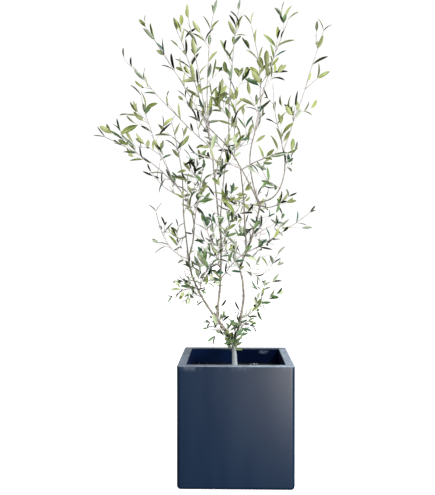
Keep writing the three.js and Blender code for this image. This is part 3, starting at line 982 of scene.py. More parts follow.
class Sheet:
    """A material's node sheet, filled one node at a time.

    A finish holds a noise as its scale and its detail, and an edge as the values between which it fades in.
    """

    even: Triple = (1.0, 1.0, 1.0)
    mix_first: int = 6
    mix_second: int = 7
    mix_result: int = 2

    def __init__(self, name: str, roughness: float, specular: float) -> None:
        """Starts a material with its shader.

        Args:
            name: The finish's name.
            roughness: The shader's roughness where nothing drives it.
            specular: The shader's specular level.
        """
        self.material = bpy.data.materials.new(name)
        self.material.use_nodes = True
        self.tree = self.material.node_tree
        self.shader = next(n for n in self.tree.nodes if n.type == "BSDF_PRINCIPLED")
        self.shader.inputs["Roughness"].default_value = roughness
        self.shader.inputs["Specular IOR Level"].default_value = specular
        self.place = add_node(self.tree, "ShaderNodeTexCoord", {}).outputs["Object"]

    def stretched(self, scale: Triple) -> Socket:
        """The place on the piece, stretched along its axes."""
        inputs = {"Vector": self.place, "Scale": scale}
        return add_node(self.tree, "ShaderNodeMapping", inputs).outputs["Vector"]

    def noise(self, scale: float, detail: float, stretch: Triple = even) -> Socket:
        """A noise pattern from 0 to 1, which is the wider along an axis the less that axis is stretched."""
        inputs = {"Vector": self.stretched(stretch), "Scale": scale, "Detail": detail}
        return add_node(self.tree, "ShaderNodeTexNoise", inputs).outputs["Fac"]

    def cells(self, scale: float, stretch: Triple = even) -> Socket:
        """The distance to the nearest of many scattered points."""
        inputs = {"Vector": self.stretched(stretch), "Scale": scale}
        return add_node(self.tree, "ShaderNodeTexVoronoi", inputs).outputs["Distance"]

    def band(self, value: Socket, low: float, high: float, first: float = 0.0, last: float = 1.0,
             ease: str = "SMOOTHSTEP") -> Socket:
        """A value that runs from first to last as another runs from low to high."""
        inputs = {"Value": value, "From Min": low, "From Max": high, "To Min": first, "To Max": last}
        return add_node(self.tree, "ShaderNodeMapRange", inputs, interpolation_type=ease).outputs["Result"]

    def math(self, operation: str, first: Socket, second: Socket | float) -> Socket:
        """The result of a sum on two values."""
        inputs = {0: first, 1: second}
        return add_node(self.tree, "ShaderNodeMath", inputs, operation=operation).outputs["Value"]

    def axes(self) -> dict[str, Socket]:
        """The three coordinates of the place."""
        node = add_node(self.tree, "ShaderNodeSeparateXYZ", {0: self.place})
        return {name: node.outputs[name] for name in "XYZ"}

    def mix(self, share: Socket, first: Socket | Colour, second: Socket | Colour) -> Socket:
        """A mix of two colours."""
        inputs = {"Factor": share, self.mix_first: first, self.mix_second: second}
        return add_node(self.tree, "ShaderNodeMix", inputs, data_type="RGBA").outputs[self.mix_result]

    def drive(self, name: str, socket: Socket) -> None:
        """Drives one of the shader's inputs."""
        self.tree.links.new(socket, self.shader.inputs[name])

    def bump(self, height: Socket, depth: float, strength: float) -> None:
        """Gives the surface a relief of the given depth."""
        inputs = {"Height": height, "Distance": depth, "Strength": strength}
        self.drive("Normal", add_node(self.tree, "ShaderNodeBump", inputs).outputs["Normal"])


@dataclass(frozen=True)
class LeafFinish:
    """A leaf's satin upper side, pale underside or midrib: a colour that shifts from leaf to leaf."""

    name: str
    colour: Colour
    shifted: Colour
    rough: float
    gloss: float = 0.3
    patches: Pair = (26.0, 1.0)
    patch_edge: Pair = (0.35, 0.65)
    grain: Pair = (900.0, 2.0)
    grain_depth: float = 0.1 * MM
    grain_strength: float = 0.25

    def material(self) -> bpy.types.Material:
        """Makes the material.

        Returns:
            The material.
        """
        sheet = Sheet(self.name, self.rough, self.gloss)
        share = sheet.band(sheet.noise(*self.patches), *self.patch_edge)
        sheet.drive("Base Color", sheet.mix(share, self.colour, self.shifted))
        sheet.bump(sheet.noise(*self.grain), self.grain_depth, self.grain_strength)
        return sheet.material


class Tone(Enum):
    """The ages and kinds of leaf that the crown shows, and a near-black tone that is painted shade: leaves
    seen edge-on in the crown's shade.
    """

    YOUNG = "young"
    OLIVE = "olive"
    GREEN = "green"
    EMERALD = "emerald"
    SAGE = "sage"
    PAINTED_SHADE = "painted_shade"


@dataclass(frozen=True)
class ToneLook:
    """How the leaves of a tone look: the finish of each side and of the midrib, and how broad they stand."""

    upper: LeafFinish
    underside: LeafFinish
    midrib: LeafFinish
    breadth: float = 1.0

    def finishes(self) -> tuple[LeafFinish, LeafFinish, LeafFinish]:
        """The finishes, in the order of the numbers of a leaf's faces."""
        return self.upper, self.underside, self.midrib


YOUNG_LEAF = LeafFinish("young_leaf", linear(142, 157, 84), linear(165, 177, 108), 0.5)
OLIVE_LEAF = LeafFinish("olive_leaf", linear(102, 122, 60), linear(128, 144, 84), 0.5)
GREEN_LEAF = LeafFinish("green_leaf", linear(78, 110, 64), linear(108, 136, 90), 0.5)
EMERALD_LEAF = LeafFinish("emerald_leaf", linear(34, 80, 62), linear(66, 108, 88), 0.55, 0.15)
SAGE_LEAF = LeafFinish("sage_leaf", linear(156, 172, 144), linear(182, 194, 168), 0.55)
# Painted shade: near-black leaves that stand for leaves seen edge-on in shade.
PAINTED_SHADE_LEAF = LeafFinish("painted_shade_leaf", linear(14, 20, 12), linear(30, 40, 24), 0.7, 0.06)
PALE_UNDERSIDE = LeafFinish("pale_underside", linear(152, 164, 112), linear(174, 183, 138), 0.6, 0.2)
SILVER_UNDERSIDE = LeafFinish("silver_underside", linear(142, 158, 140), linear(170, 184, 164), 0.6, 0.2)
GREEN_UNDERSIDE = LeafFinish("green_underside", linear(70, 104, 78), linear(98, 126, 98), 0.6, 0.2)
# The underside of the painted-shade leaves, near-black as painted shade too.
PAINTED_SHADE_UNDERSIDE = LeafFinish("painted_shade_underside", linear(30, 36, 24), linear(52, 62, 40), 0.7, 0.08)
PALE_MIDRIB = LeafFinish("pale_midrib", linear(168, 180, 116), linear(182, 192, 138), 0.55, 0.2)
DARK_MIDRIB = LeafFinish("dark_midrib", linear(62, 76, 44), linear(84, 98, 62), 0.6, 0.1)
TONE_LOOKS = {
    Tone.YOUNG: ToneLook(YOUNG_LEAF, PALE_UNDERSIDE, PALE_MIDRIB, 1.1),
    Tone.OLIVE: ToneLook(OLIVE_LEAF, PALE_UNDERSIDE, PALE_MIDRIB, 1.1),
    Tone.GREEN: ToneLook(GREEN_LEAF, SILVER_UNDERSIDE, DARK_MIDRIB),
    Tone.EMERALD: ToneLook(EMERALD_LEAF, GREEN_UNDERSIDE, DARK_MIDRIB),
    Tone.SAGE: ToneLook(SAGE_LEAF, SILVER_UNDERSIDE, PALE_MIDRIB),
    # The painted-shade leaves stand narrow, like leaves seen edge-on.
    Tone.PAINTED_SHADE: ToneLook(PAINTED_SHADE_LEAF, PAINTED_SHADE_UNDERSIDE, DARK_MIDRIB, 0.68),
}


@dataclass(frozen=True)
class BarkFinish:
    """Smooth grey bark with a fine grain and pale pores."""

    name: str
    pale: Colour
    dark: Colour
    grain_scale: float
    rough: float = 0.72
    gloss: float = 0.35
    grain_detail: float = 5.0
    grain_stretch: Triple = (1.0, 1.0, 0.22)
    grain_edge: Pair = (0.38, 0.66)
    pore: Colour = linear(205, 200, 190)
    pore_scale: float = 330.0
    pore_stretch: Triple = (1.0, 1.0, 1.6)
    pore_edge: Pair = (0.16, 0.3)
    pore_share: float = 0.5
    patches: Pair = (30.0, 2.0)
    patch_stretch: Triple = (1.0, 1.0, 0.5)
    patch_edge: Pair = (0.4, 0.62)
    patch_share: float = 0.6
    depth: float = 0.5 * MM
    relief: float = 0.6

    def material(self) -> bpy.types.Material:
        """Makes the material.

        Returns:
            The material.
        """
        sheet = Sheet(self.name, self.rough, self.gloss)
        grain = sheet.noise(self.grain_scale, self.grain_detail, self.grain_stretch)
        cells = sheet.cells(self.pore_scale, self.pore_stretch)
        pores = sheet.math("MULTIPLY", sheet.band(cells, *self.pore_edge, 1.0, 0.0), self.pore_share)
        sheet.drive("Base Color", self._colour(sheet, grain, pores))
        sheet.bump(sheet.math("ADD", grain, pores), self.depth, self.relief)
        return sheet.material

    def _colour(self, sheet: Sheet, grain: Socket, pores: Socket) -> Socket:
        """Mixes the bark's colour.

        Args:
            sheet: The material's node sheet.
            grain: The grain's pattern.
            pores: Where the pores are.

        Returns:
            The colour.
        """
        base = sheet.mix(sheet.band(grain, *self.grain_edge), self.dark, self.pale)
        patches = sheet.noise(*self.patches, self.patch_stretch)
        weather = sheet.band(patches, *self.patch_edge, 0.0, self.patch_share)
        return sheet.mix(pores, sheet.mix(weather, base, self.pale), self.pore)


@dataclass(frozen=True)
class TrunkFinish(BarkFinish):
    """Bark that is smooth and blue-grey on the trunk and browner on the boughs."""

    smooth: Colour = linear(194, 208, 215)
    smooth_share: float = 0.9
    smooth_to: float = 0.46
    fades_over: float = 0.05

    def _colour(self, sheet: Sheet, grain: Socket, pores: Socket) -> Socket:
        """Mixes the bark's colour, smoother below the fork.

        Args:
            sheet: The material's node sheet.
            grain: The grain's pattern.
            pores: Where the pores are.

        Returns:
            The colour.
        """
        upper = super()._colour(sheet, grain, pores)
        ends = (self.smooth_to, self.smooth_to + self.fades_over, self.smooth_share, 0.0)
        return sheet.mix(sheet.band(sheet.axes()["Z"], *ends, ease="LINEAR"), upper, self.smooth)


@dataclass(frozen=True)
class FibreClayFinish:
    """Dark slate-blue fibre clay: a satin face with faint upright streaks, and a paler rim that is partly
    wear and partly painted light.
    """

    height: float
    rear: float
    face: Colour = linear(5, 28, 54)
    lighter_tone: Colour = linear(9, 32, 57)
    # The rim's pale colour: partly wear, partly painted light on the rim.
    worn_and_lit: Colour = linear(152, 166, 184)
    rough: float = 0.42
    gloss: float = 0.3
    streaks: Pair = (16.0, 5.0)
    streak_stretch: Triple = (1.0, 1.0, 0.16)
    streak_edge: Pair = (0.3, 0.72)
    scuffs: Pair = (75.0, 6.0)
    scuff_edge: Pair = (0.35, 0.62)
    scuff_low: float = 0.6
    scuff_relief: float = 0.8
    speckle: Pair = (420.0, 3.0)
    speckle_relief: float = 0.35
    rim: Pair = (3.2 * MM, 0.6 * MM)
    # Painted light: the rim is paler on the right than on the left, as if lit from the right.
    rim_wear_and_light: Pair = (0.5, 1.0)
    rear_edge: float = 4 * MM
    # Painted shade: the rear of the rim keeps only a share of its paleness.
    rear_painted_shade: float = 0.25
    smear: Pair = (22 * MM, 2 * MM)
    smear_edge: Pair = (0.46, 0.7)
    smear_wear: float = 0.25
    satin_edge: Pair = (0.3, 0.7)
    satin: Pair = (0.35, 0.38)
    worn_rough: float = 0.55
    depth: float = 0.4 * MM
    relief: float = 0.3

    def material(self) -> bpy.types.Material:
        """Makes the material.

        Returns:
            The material.
        """
        sheet = Sheet("fibre_clay", self.rough, self.gloss)
        streaks = sheet.noise(*self.streaks, self.streak_stretch)
        scuffs = sheet.noise(*self.scuffs)
        face = sheet.mix(sheet.band(streaks, *self.streak_edge), self.face, self.lighter_tone)
        wear_and_light = self._wear_and_light(sheet, streaks)
        broken = sheet.band(scuffs, *self.scuff_edge, self.scuff_low, 1.0)
        sheet.drive("Base Color", sheet.mix(sheet.math("MULTIPLY", wear_and_light, broken), face, self.worn_and_lit))
        rough = sheet.band(streaks, *self.satin_edge, *self.satin)
        sheet.drive("Roughness", sheet.math("ADD", rough, sheet.math("MULTIPLY", wear_and_light, self.worn_rough)))
        coarse = sheet.math("MULTIPLY", scuffs, self.scuff_relief)
        fine = sheet.math("MULTIPLY", sheet.noise(*self.speckle), self.speckle_relief)
        sheet.bump(sheet.math("ADD", coarse, fine), self.depth, self.relief)
        return sheet.material

    def _wear_and_light(self, sheet: Sheet, streaks: Socket) -> Socket:
        """Maps the paler rim, partly wear and partly painted light: most on the front and right of the rim,
        with painted shade that keeps the rear and the left darker, and faint smears below it.

        Args:
            sheet: The material's node sheet.
            streaks: The streaks' pattern.

        Returns:
            The wear and painted light, from 0 to 1.
        """
        axes = sheet.axes()
        top = sheet.band(axes["Z"], *(self.height - below for below in self.rim))
        # The rim's paleness is partly wear. The fade at the rear is painted shade, and the rise towards the
        # right is painted light.
        rear = (self.rear - self.rear_edge, self.rear + self.rear_edge, 1.0, self.rear_painted_shade)
        rim = sheet.math("MULTIPLY", top, sheet.band(axes["Y"], *rear))
        rim = sheet.math("MULTIPLY", rim, sheet.band(axes["X"], -self.rear, self.rear, *self.rim_wear_and_light))
        ends = [self.height - below for below in self.smear]
        below = sheet.band(axes["Z"], *ends, 0.0, self.smear_wear)
        smear = sheet.math("MULTIPLY", below, sheet.band(streaks, *self.smear_edge))
        return sheet.math("MAXIMUM", rim, smear)


@dataclass(frozen=True)
class HollowFinish:
    """The inside of the planter: matt, in a dark blue that is painted shade, mottled and paler on the left
    half, with a faint pale mark high at the rear.
    """

    # Painted shade: the hollow's walls are darker than the outer face, as if in shade, in two mottled tones.
    painted_shade: Colour = linear(0, 12, 44)
    second_shade_tone: Colour = linear(2, 16, 46)
    shade_mottle: Pair = (14.0, 5.0)
    shade_mottle_edge: Pair = (0.35, 0.65)
    # The painted shade is paler on the left half.
    lighter_tone: Colour = linear(12, 32, 70)
    lighter_across: Pair = (-0.03, 0.03)
    # A faint pale mark high on the rear inner wall: its colour, and where it lies across, up and back.
    pale_mark: Colour = linear(150, 168, 190)
    mark_across: Pair = (0.1, 0.126)
    mark_height: Pair = (0.402, 0.411)
    mark_behind: Pair = (0.16, 0.16 + 5 * MM)
    wisps: Pair = (80.0, 2.0)
    wisp_stretch: Triple = (0.6, 1.0, 2.0)
    wisp_edge: Pair = (0.35, 0.6)
    wisp_share: float = 0.8
    grain: Pair = (300.0, 4.0)
    rough: float = 0.75
    gloss: float = 0.06
    depth: float = 0.4 * MM
    relief: float = 0.4

    def material(self) -> bpy.types.Material:
        """Makes the material.

        Returns:
            The material.
        """
        sheet = Sheet("fibre_clay_inside_shade", self.rough, self.gloss)
        axes = sheet.axes()
        # The inside's colour is painted shade, mottled between two dark tones and paler on the left half.
        shade_mottle = sheet.band(sheet.noise(*self.shade_mottle), *self.shade_mottle_edge)
        inside = sheet.mix(shade_mottle, self.painted_shade, self.second_shade_tone)
        inside = sheet.mix(sheet.band(axes["X"], *self.lighter_across, 1.0, 0.0), inside, self.lighter_tone)
        # The faint pale mark high on the rear inner wall, broken into wisps.
        pale_mark_mask = sheet.band(axes["Y"], *self.mark_behind)
        for name, (low, high) in (("X", self.mark_across), ("Z", self.mark_height)):
            soft = (high - low) / 2
            pale_mark_mask = sheet.math("MULTIPLY", pale_mark_mask, sheet.band(axes[name], low - soft, low + soft))
            pale_mark_mask = sheet.math("MULTIPLY", pale_mark_mask, sheet.band(axes[name], high - soft, high + soft, 1.0, 0.0))
        wisps = sheet.noise(*self.wisps, self.wisp_stretch)
        pale_mark_mask = sheet.math("MULTIPLY", pale_mark_mask, sheet.band(wisps, *self.wisp_edge, 0.0, self.wisp_share))
        sheet.drive("Base Color", sheet.mix(pale_mark_mask, inside, self.pale_mark))
        sheet.bump(sheet.noise(*self.grain), self.depth, self.relief)
        return sheet.material


@dataclass(frozen=True)
class GrainFinish:
    """A crumbly matt finish for soil, bark crumbs and white grains."""

    name: str
    dark: Colour
    pale: Colour
    scale: float
    detail: float = 6.0
    edge: Pair = (0.35, 0.7)
    rough: float = 0.95
    gloss: float = 0.2
    depth: float = 1.5 * MM
    relief: float = 0.6

    def material(self) -> bpy.types.Material:
        """Makes the material.

        Returns:
            The material.
        """
        sheet = Sheet(self.name, self.rough, self.gloss)
        grain = sheet.noise(self.scale, self.detail)
        sheet.drive("Base Color", sheet.mix(sheet.band(grain, *self.edge), self.dark, self.pale))
        sheet.bump(grain, self.depth, self.relief)
        return sheet.material


def in_scene(name: str, data: bpy.types.ID) -> bpy.types.Object:
    """Puts an object in the scene.

    Args:
        name: The object's name.
        data: Its mesh, curve, lamp or camera.

    Returns:
        The object.
    """
    thing = bpy.data.objects.new(name, data)
    bpy.context.scene.collection.objects.link(thing)
    return thing


def mesh_of(name: str, form: bmesh.types.BMesh) -> bpy.types.Mesh:
    """Turns a modelled form into a mesh.

    Args:
        name: The mesh's name.
        form: The form, which is freed.

    Returns:
        The mesh.
    """
    mesh = bpy.data.meshes.new(name)
    form.to_mesh(mesh)
    form.free()
    return mesh


def joined_copies(name: str, copies: list[tuple[np.ndarray, Faces]]) -> bpy.types.Mesh:
    """Joins many small forms into one mesh.

    Args:
        name: The mesh's name.
        copies: The vertices of each form, and its faces as lists of vertex numbers.

    Returns:
        The mesh.
    """
    faces = []
    offset = 0
    for vertices, outline in copies:
        faces += [[offset + i for i in face] for face in outline]
        offset += len(vertices)
    mesh = bpy.data.meshes.new(name)
    mesh.from_pydata(np.concatenate([vertices for vertices, _ in copies]).tolist(), [], faces)
    return mesh


def finished_piece(name: str, mesh: bpy.types.Mesh, materials: list[bpy.types.Material],
                   nodes: tuple[str, ...] = ()) -> bpy.types.Object:
    """Puts a mesh in the scene as a piece of the object.

    Args:
        name: The piece's name.
        mesh: Its mesh, in place.
        materials: Its materials, in the order of the faces' numbers.
        nodes: The solids that it stands for.

    Returns:
        The piece.
    """
    piece = in_scene(name, mesh)
    for material in materials:
        mesh.materials.append(material)
    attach(piece, BODY)
    if nodes:
        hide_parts(*nodes)
    triangles = sum(len(p.vertices) - 2 for p in mesh.polygons)
    log.info("%s: %d triangles", name, triangles)
    return piece


def evaluated_mesh(thing: bpy.types.Object) -> bpy.types.Mesh:
    """Applies the modifiers or the bevel of an object in the scene, and removes the object.

    Args:
        thing: The object.

    Returns:
        The mesh that it shows.
    """
    graph = bpy.context.evaluated_depsgraph_get()
    mesh = bpy.data.meshes.new_from_object(thing.evaluated_get(graph))
    bpy.data.objects.remove(thing)
    return mesh


def strand_mesh(name: str, strands: list[Strand], resolution: int) -> bpy.types.Mesh:
    """Turns strands into round closed tubes.

    Args:
        name: The mesh's name.
        strands: The stretches of wood.
        resolution: How round the tubes are. At 0 they have four sides.

    Returns:
        One mesh of all the tubes.
    """
    curve = bpy.data.curves.new(name, "CURVE")
    curve.dimensions = "3D"
    curve.bevel_depth = 1.0
    curve.bevel_resolution = resolution
    curve.use_fill_caps = True
    for strand in strands:
        spline = curve.splines.new("POLY")
        spline.points.add(len(strand.points) - 1)
        for point, place, radius in zip(spline.points, strand.points, strand.radii):
            point.co = (*place, 1.0)
            point.radius = radius
    mesh = evaluated_mesh(in_scene(name, curve))
    mesh.name = name
    bpy.data.curves.remove(curve)
    mesh.shade_smooth()
    return mesh


@dataclass
class Bark:
    """The trunk and boughs as one grown surface with swellings, spurs and a grain.

    The collar is the swelling at a limb's start, and its length is counted in the limb's radii. The lumps
    and the grain are noises of a frequency and a height.
    """

    growth: OliveGrowth
    seed: int = 71
    stouter: float = 0.4 * MM
    trunk_slimmer: float = 0.5 * MM
    roundness: int = 4
    voxel: float = 1.1 * MM
    smoothed: float = 0.5
    step: float = 9 * MM
    fewest_steps: int = 6
    collar: float = 0.35
    collar_length: float = 2.5
    knot_gap: float = 75 * MM
    knot_scatter: float = 0.3
    last_knot: float = 0.96
    knot_swell: float = 0.3
    knot_width: float = 4 * MM
    tip_taper: float = 0.9
    spurred: float = 0.5
    spur: Pair = (4 * MM, 9 * MM)
    spur_lean: float = 0.6
    spur_points: Triple = (0.0, 0.5, 1.0)
    spur_radii: Triple = (1.5 * MM, 1.1 * MM, 0.9 * MM)
    lumps: Pair = (110.0, 0.35 * MM)
    grain: Pair = (520.0, 0.16 * MM)
    grain_squeeze: float = 0.25
    flare_top: float = 0.1
    limbs: tuple[str, ...] = ("trunk", *(limb.name for limb in BOUGHS))
    finish: TrunkFinish = TrunkFinish("olive_bark", linear(154, 149, 142), linear(88, 83, 76), 420.0)

    def _knots(self, name: str, length: float, source: Draws) -> list[float]:
        """Draws where a limb has knots. It has one where another limb leaves it too, but the trunk has none.

        Args:
            name: The limb's name.
            length: Its length.
            source: The draws.

        Returns:
            How far along the limb each knot is.
        """
        # The trunk draws its knots too, so that the other limbs' draws don't depend on it.
        count = int(length / self.knot_gap)
        knots = [source.around(i + 0.5, self.knot_scatter) * self.knot_gap for i in range(count)]
        leaving = [limb.at for limb in (*BOUGHS, *SHOOTS) if limb.parent == name]
        knots += [at * length for at in leaving if at < self.last_knot]
        return [] if name == "trunk" else knots

    def _limb(self, name: str, knots: list[float]) -> Strand:
        """Lays a limb as a strand, swollen at its start and at each knot, or plain if it is the trunk.

        Args:
            name: The limb's name.
            knots: How far along it each knot is.

        Returns:
            The strand.
        """
        axis = self.growth.axes[name]
        length = axis.length()
        stouter, collar = (-self.trunk_slimmer, 0.0) if name == "trunk" else (self.stouter, self.collar)
        count = max(self.fewest_steps, int(length / self.step))
        points = [Sway.moved(axis.point(i / count)) for i in range(count + 1)]
        radii = []
        for i in range(count + 1):
            along = i / count * length
            swell = sum(math.exp(-(((along - knot) / self.knot_width) ** 2)) for knot in knots)
            start = collar * math.exp(-along / (self.collar_length * axis.radius(0)))
            radii.append((axis.radius(i / count) + stouter) * (1 + self.knot_swell * min(swell, 1) + start))
        radii[-1] *= self.tip_taper
        if name == "trunk":
            points[0] = points[0] - UP * self.growth.trunk.planted
        return Strand(points, radii)

    def _spur(self, axis: Axis, share: float, source: Draws) -> Strand:
        """Makes the short stub of a twig that was cut or broke off.

        Args:
            axis: The limb's middle line.
            share: Where on the limb it stands.
            source: The draws.

        Returns:
            The stub as a strand.
        """
        turn = source.next() * FULL_TURN
        direction = (axis.outward(share, turn) + axis.along(share) * self.spur_lean).normalized()
        base = Sway.moved(axis.point(share))
        reach = axis.radius(share) + source.between(*self.spur)
        return Strand([base + direction * (reach * part) for part in self.spur_points], [*self.spur_radii])

    def _strands(self) -> list[Strand]:
        """Lays the limbs, with short spurs at some of their knots.

        Returns:
            The strands.
        """
        source = Draws(self.seed)
        strands = []
        for name in self.limbs:
            axis = self.growth.axes[name]
            length = axis.length()
            knots = self._knots(name, length, source)
            strands.append(self._limb(name, knots))
            for knot in knots:
                if source.next() < self.spurred:
                    strands.append(self._spur(axis, knot / length, source))
        return strands

    def _relief(self, mesh: bpy.types.Mesh) -> None:
        """Gives the bark its root flare, lumps and grain.

        Args:
            mesh: The bark's mesh, which is changed.
        """
        trunk = self.growth.trunk
        foot = Vector(trunk.foot)
        surface = bmesh.new()
        surface.from_mesh(mesh)
        bmesh.ops.smooth_vert(surface, verts=surface.verts, factor=self.smoothed, use_axis_x=True,
                              use_axis_y=True, use_axis_z=True)
        surface.normal_update()
        for vert in surface.verts:
            place = vert.co.copy()
            height = place.z - foot.z
            push = noise.noise(place * self.lumps[0]) * self.lumps[1]
            drawn = Vector((place.x, place.y, place.z * self.grain_squeeze))
            push += noise.noise(drawn * self.grain[0]) * self.grain[1]
            if height < self.flare_top:
                turn = math.atan2(place.y - foot.y, place.x - foot.x)
                ridge = 1 + trunk.ridge_depth * math.cos(trunk.ridges * turn)
                push += trunk.flare * math.exp(-max(height, 0) / trunk.flare_height) * ridge
            vert.co = place + vert.normal * push
        surface.to_mesh(mesh)
        surface.free()

    def build(self) -> None:
        """Makes the piece."""
        rough = in_scene("limbs", strand_mesh("limbs", self._strands(), self.roundness))
        remesh = rough.modifiers.new("grown", "REMESH")
        remesh.mode = "VOXEL"
        remesh.voxel_size = self.voxel
        mesh = evaluated_mesh(rough)
        mesh.name = "bark"
        self._relief(mesh)
        mesh.shade_smooth()
        finished_piece("bark", mesh, [self.finish.material()], self.limbs)


@dataclass
class Twigs:
    """The stems of the leafy shoots with their side twigs, and the finer twigs on those."""

    growth: OliveGrowth
    seed: int = 613
    stem_stouter: float = 0.4 * MM
    twig_stouter: float = 0.2 * MM
    stem_roundness: int = 1
    node_swell: float = 0.22
    tip_taper: float = 0.6
    step: float = 14 * MM
    fewest_steps: int = 3
    dark_share: Pair = (0.65, 0.1)
    dark_between: Pair = (0.9, 1.4)
    stem: BarkFinish = BarkFinish("stem_bark", linear(204, 199, 202), linear(158, 152, 152), 700.0)
    pale: BarkFinish = BarkFinish("twig_bark", linear(203, 197, 196), linear(148, 143, 138), 900.0)
    dark: BarkFinish = BarkFinish("dark_twig_bark", linear(92, 84, 76), linear(48, 42, 38), 900.0)

    def _is_dark(self, axis: Axis, source: Draws) -> bool:
        """Draws whether a finer twig has dark bark, which is commoner low in the crown."""
        low, high = self.dark_between
        return source.next() < lerp(*self.dark_share, clamp((axis.start.z - low) / (high - low)))

    def _strand(self, axis: Axis, stouter: float) -> Strand:
        """Lays a twig as a strand, a little swollen at every other point, as where leaves stand.

        Args:
            axis: The twig's middle line.
            stouter: How much thicker it is than its solid all round.

        Returns:
            The strand.
        """
        count = max(self.fewest_steps, int(axis.length() / self.step))
        points = [Sway.moved(axis.point(i / count)) for i in range(count + 1)]
        swells = [1 + self.node_swell * (i % 2) for i in range(count + 1)]
        radii = [(axis.radius(i / count) + stouter) * swell for i, swell in enumerate(swells)]
        radii[-1] *= self.tip_taper
        return Strand(points, radii)

    def build(self) -> None:
        """Makes the pieces: the stems, and the finer twigs by the colour of their bark."""
        stems = [self._strand(self.growth.axes[one.name], self.stem_stouter) for one in SHOOTS]
        for twigs in self.growth.twigs.values():
            stems += [self._strand(twig, self.twig_stouter) for twig in twigs]
        source = Draws(self.seed)
        fine: dict[bool, list[Strand]] = {True: [], False: []}
        for twig in self.growth.fine_twigs:
            fine[self._is_dark(twig, source)].append(self._strand(twig, 0.0))
        shoots = tuple(one.name for one in SHOOTS)
        for name, strands, roundness, finish, nodes in (
            ("stems", stems, self.stem_roundness, self.stem, shoots),
            ("fine_twigs", fine[False], 0, self.pale, ()),
            ("dark_twigs", fine[True], 0, self.dark, ()),
        ):
            mesh = strand_mesh(name, strands, roundness)
            finished_piece(name, mesh, [finish.material()], nodes)


@dataclass(frozen=True)
class LeafShape:
    """One form of leaf, modelled once at a length and a width of 1: a thin closed blade with a midrib.

    A station is a share of the length and how much of the full width the blade has there.
    """

    arch: float
    fold: float
    twist: float
    thickness: float = 0.010
    midrib: float = 0.10
    midrib_reach: float = 0.3
    slimness: float = 0.24
    level: float = 0.5
    digits: int = 4
    merged: float = 1e-5
    stations: tuple[Pair, ...] = (
        (0.0, 0.12),
        (0.07, 0.16),
        (0.19, 0.6),
        (0.37, 0.94),
        (0.57, 1.0),
        (0.77, 0.8),
        (0.92, 0.44),
        (1.0, 0.0),
    )

    def template(self) -> tuple[np.ndarray, Faces, list[int]]:
        """Models the leaf.

        Returns:
            The vertices, each face's vertex numbers, and each face's material number: 0 for the upper side,
            1 for the underside and 2 for the midrib.
        """
        spans = (-1, -self.midrib, self.midrib, 1)
        blade = bmesh.new()
        bmesh.ops.create_grid(blade, x_segments=len(spans) - 1, y_segments=len(self.stations) - 1, size=0.5)
        columns = sorted({round(v.co.x, self.digits) for v in blade.verts})
        rows = sorted({round(v.co.y, self.digits) for v in blade.verts})
        for vert in blade.verts:
            column = columns.index(round(vert.co.x, self.digits))
            along, width = self.stations[rows.index(round(vert.co.y, self.digits))]
            vert.co = (spans[column] * width / 2, along, 0)
        bmesh.ops.remove_doubles(blade, verts=blade.verts, dist=self.merged)
        bmesh.ops.solidify(blade, geom=blade.faces[:], thickness=self.thickness)
        bmesh.ops.recalc_face_normals(blade, faces=blade.faces)
        kinds = [self._kind(face) for face in blade.faces]
        for vert in blade.verts:
            vert.co = self._bent(vert.co)
        blade.verts.index_update()
        vertices = np.array([v.co[:] for v in blade.verts])
        faces = [[v.index for v in face.verts] for face in blade.faces]
        blade.free()
        return vertices, faces, kinds

    def _kind(self, face: bmesh.types.BMFace) -> int:
        """Tells what a face of the flat blade belongs to.

        Args:
            face: The face.

        Returns:
            Its material number.
        """
        in_middle = abs(face.calc_center_median().x) < self.midrib * self.midrib_reach
        if in_middle and abs(face.normal.z) > self.level:
            return 2
        return 0 if face.normal.z > -self.level else 1

    def _bent(self, place: Vector) -> Vector:
        """Folds the blade up along the midrib, twists it and arches it back.

        Args:
            place: A place on the flat blade.

        Returns:
            Where it goes.
        """
        across = place.x * self.slimness
        rise = place.z + self.fold * abs(across)
        angle = self.twist * place.y
        turned_across = across * math.cos(angle) - rise * math.sin(angle)
        turned_rise = across * math.sin(angle) + rise * math.cos(angle)
        along = place.y * (1 - 0.5 * self.arch**2)
        return Vector((turned_across / self.slimness, along, turned_rise - self.arch * place.y**2))


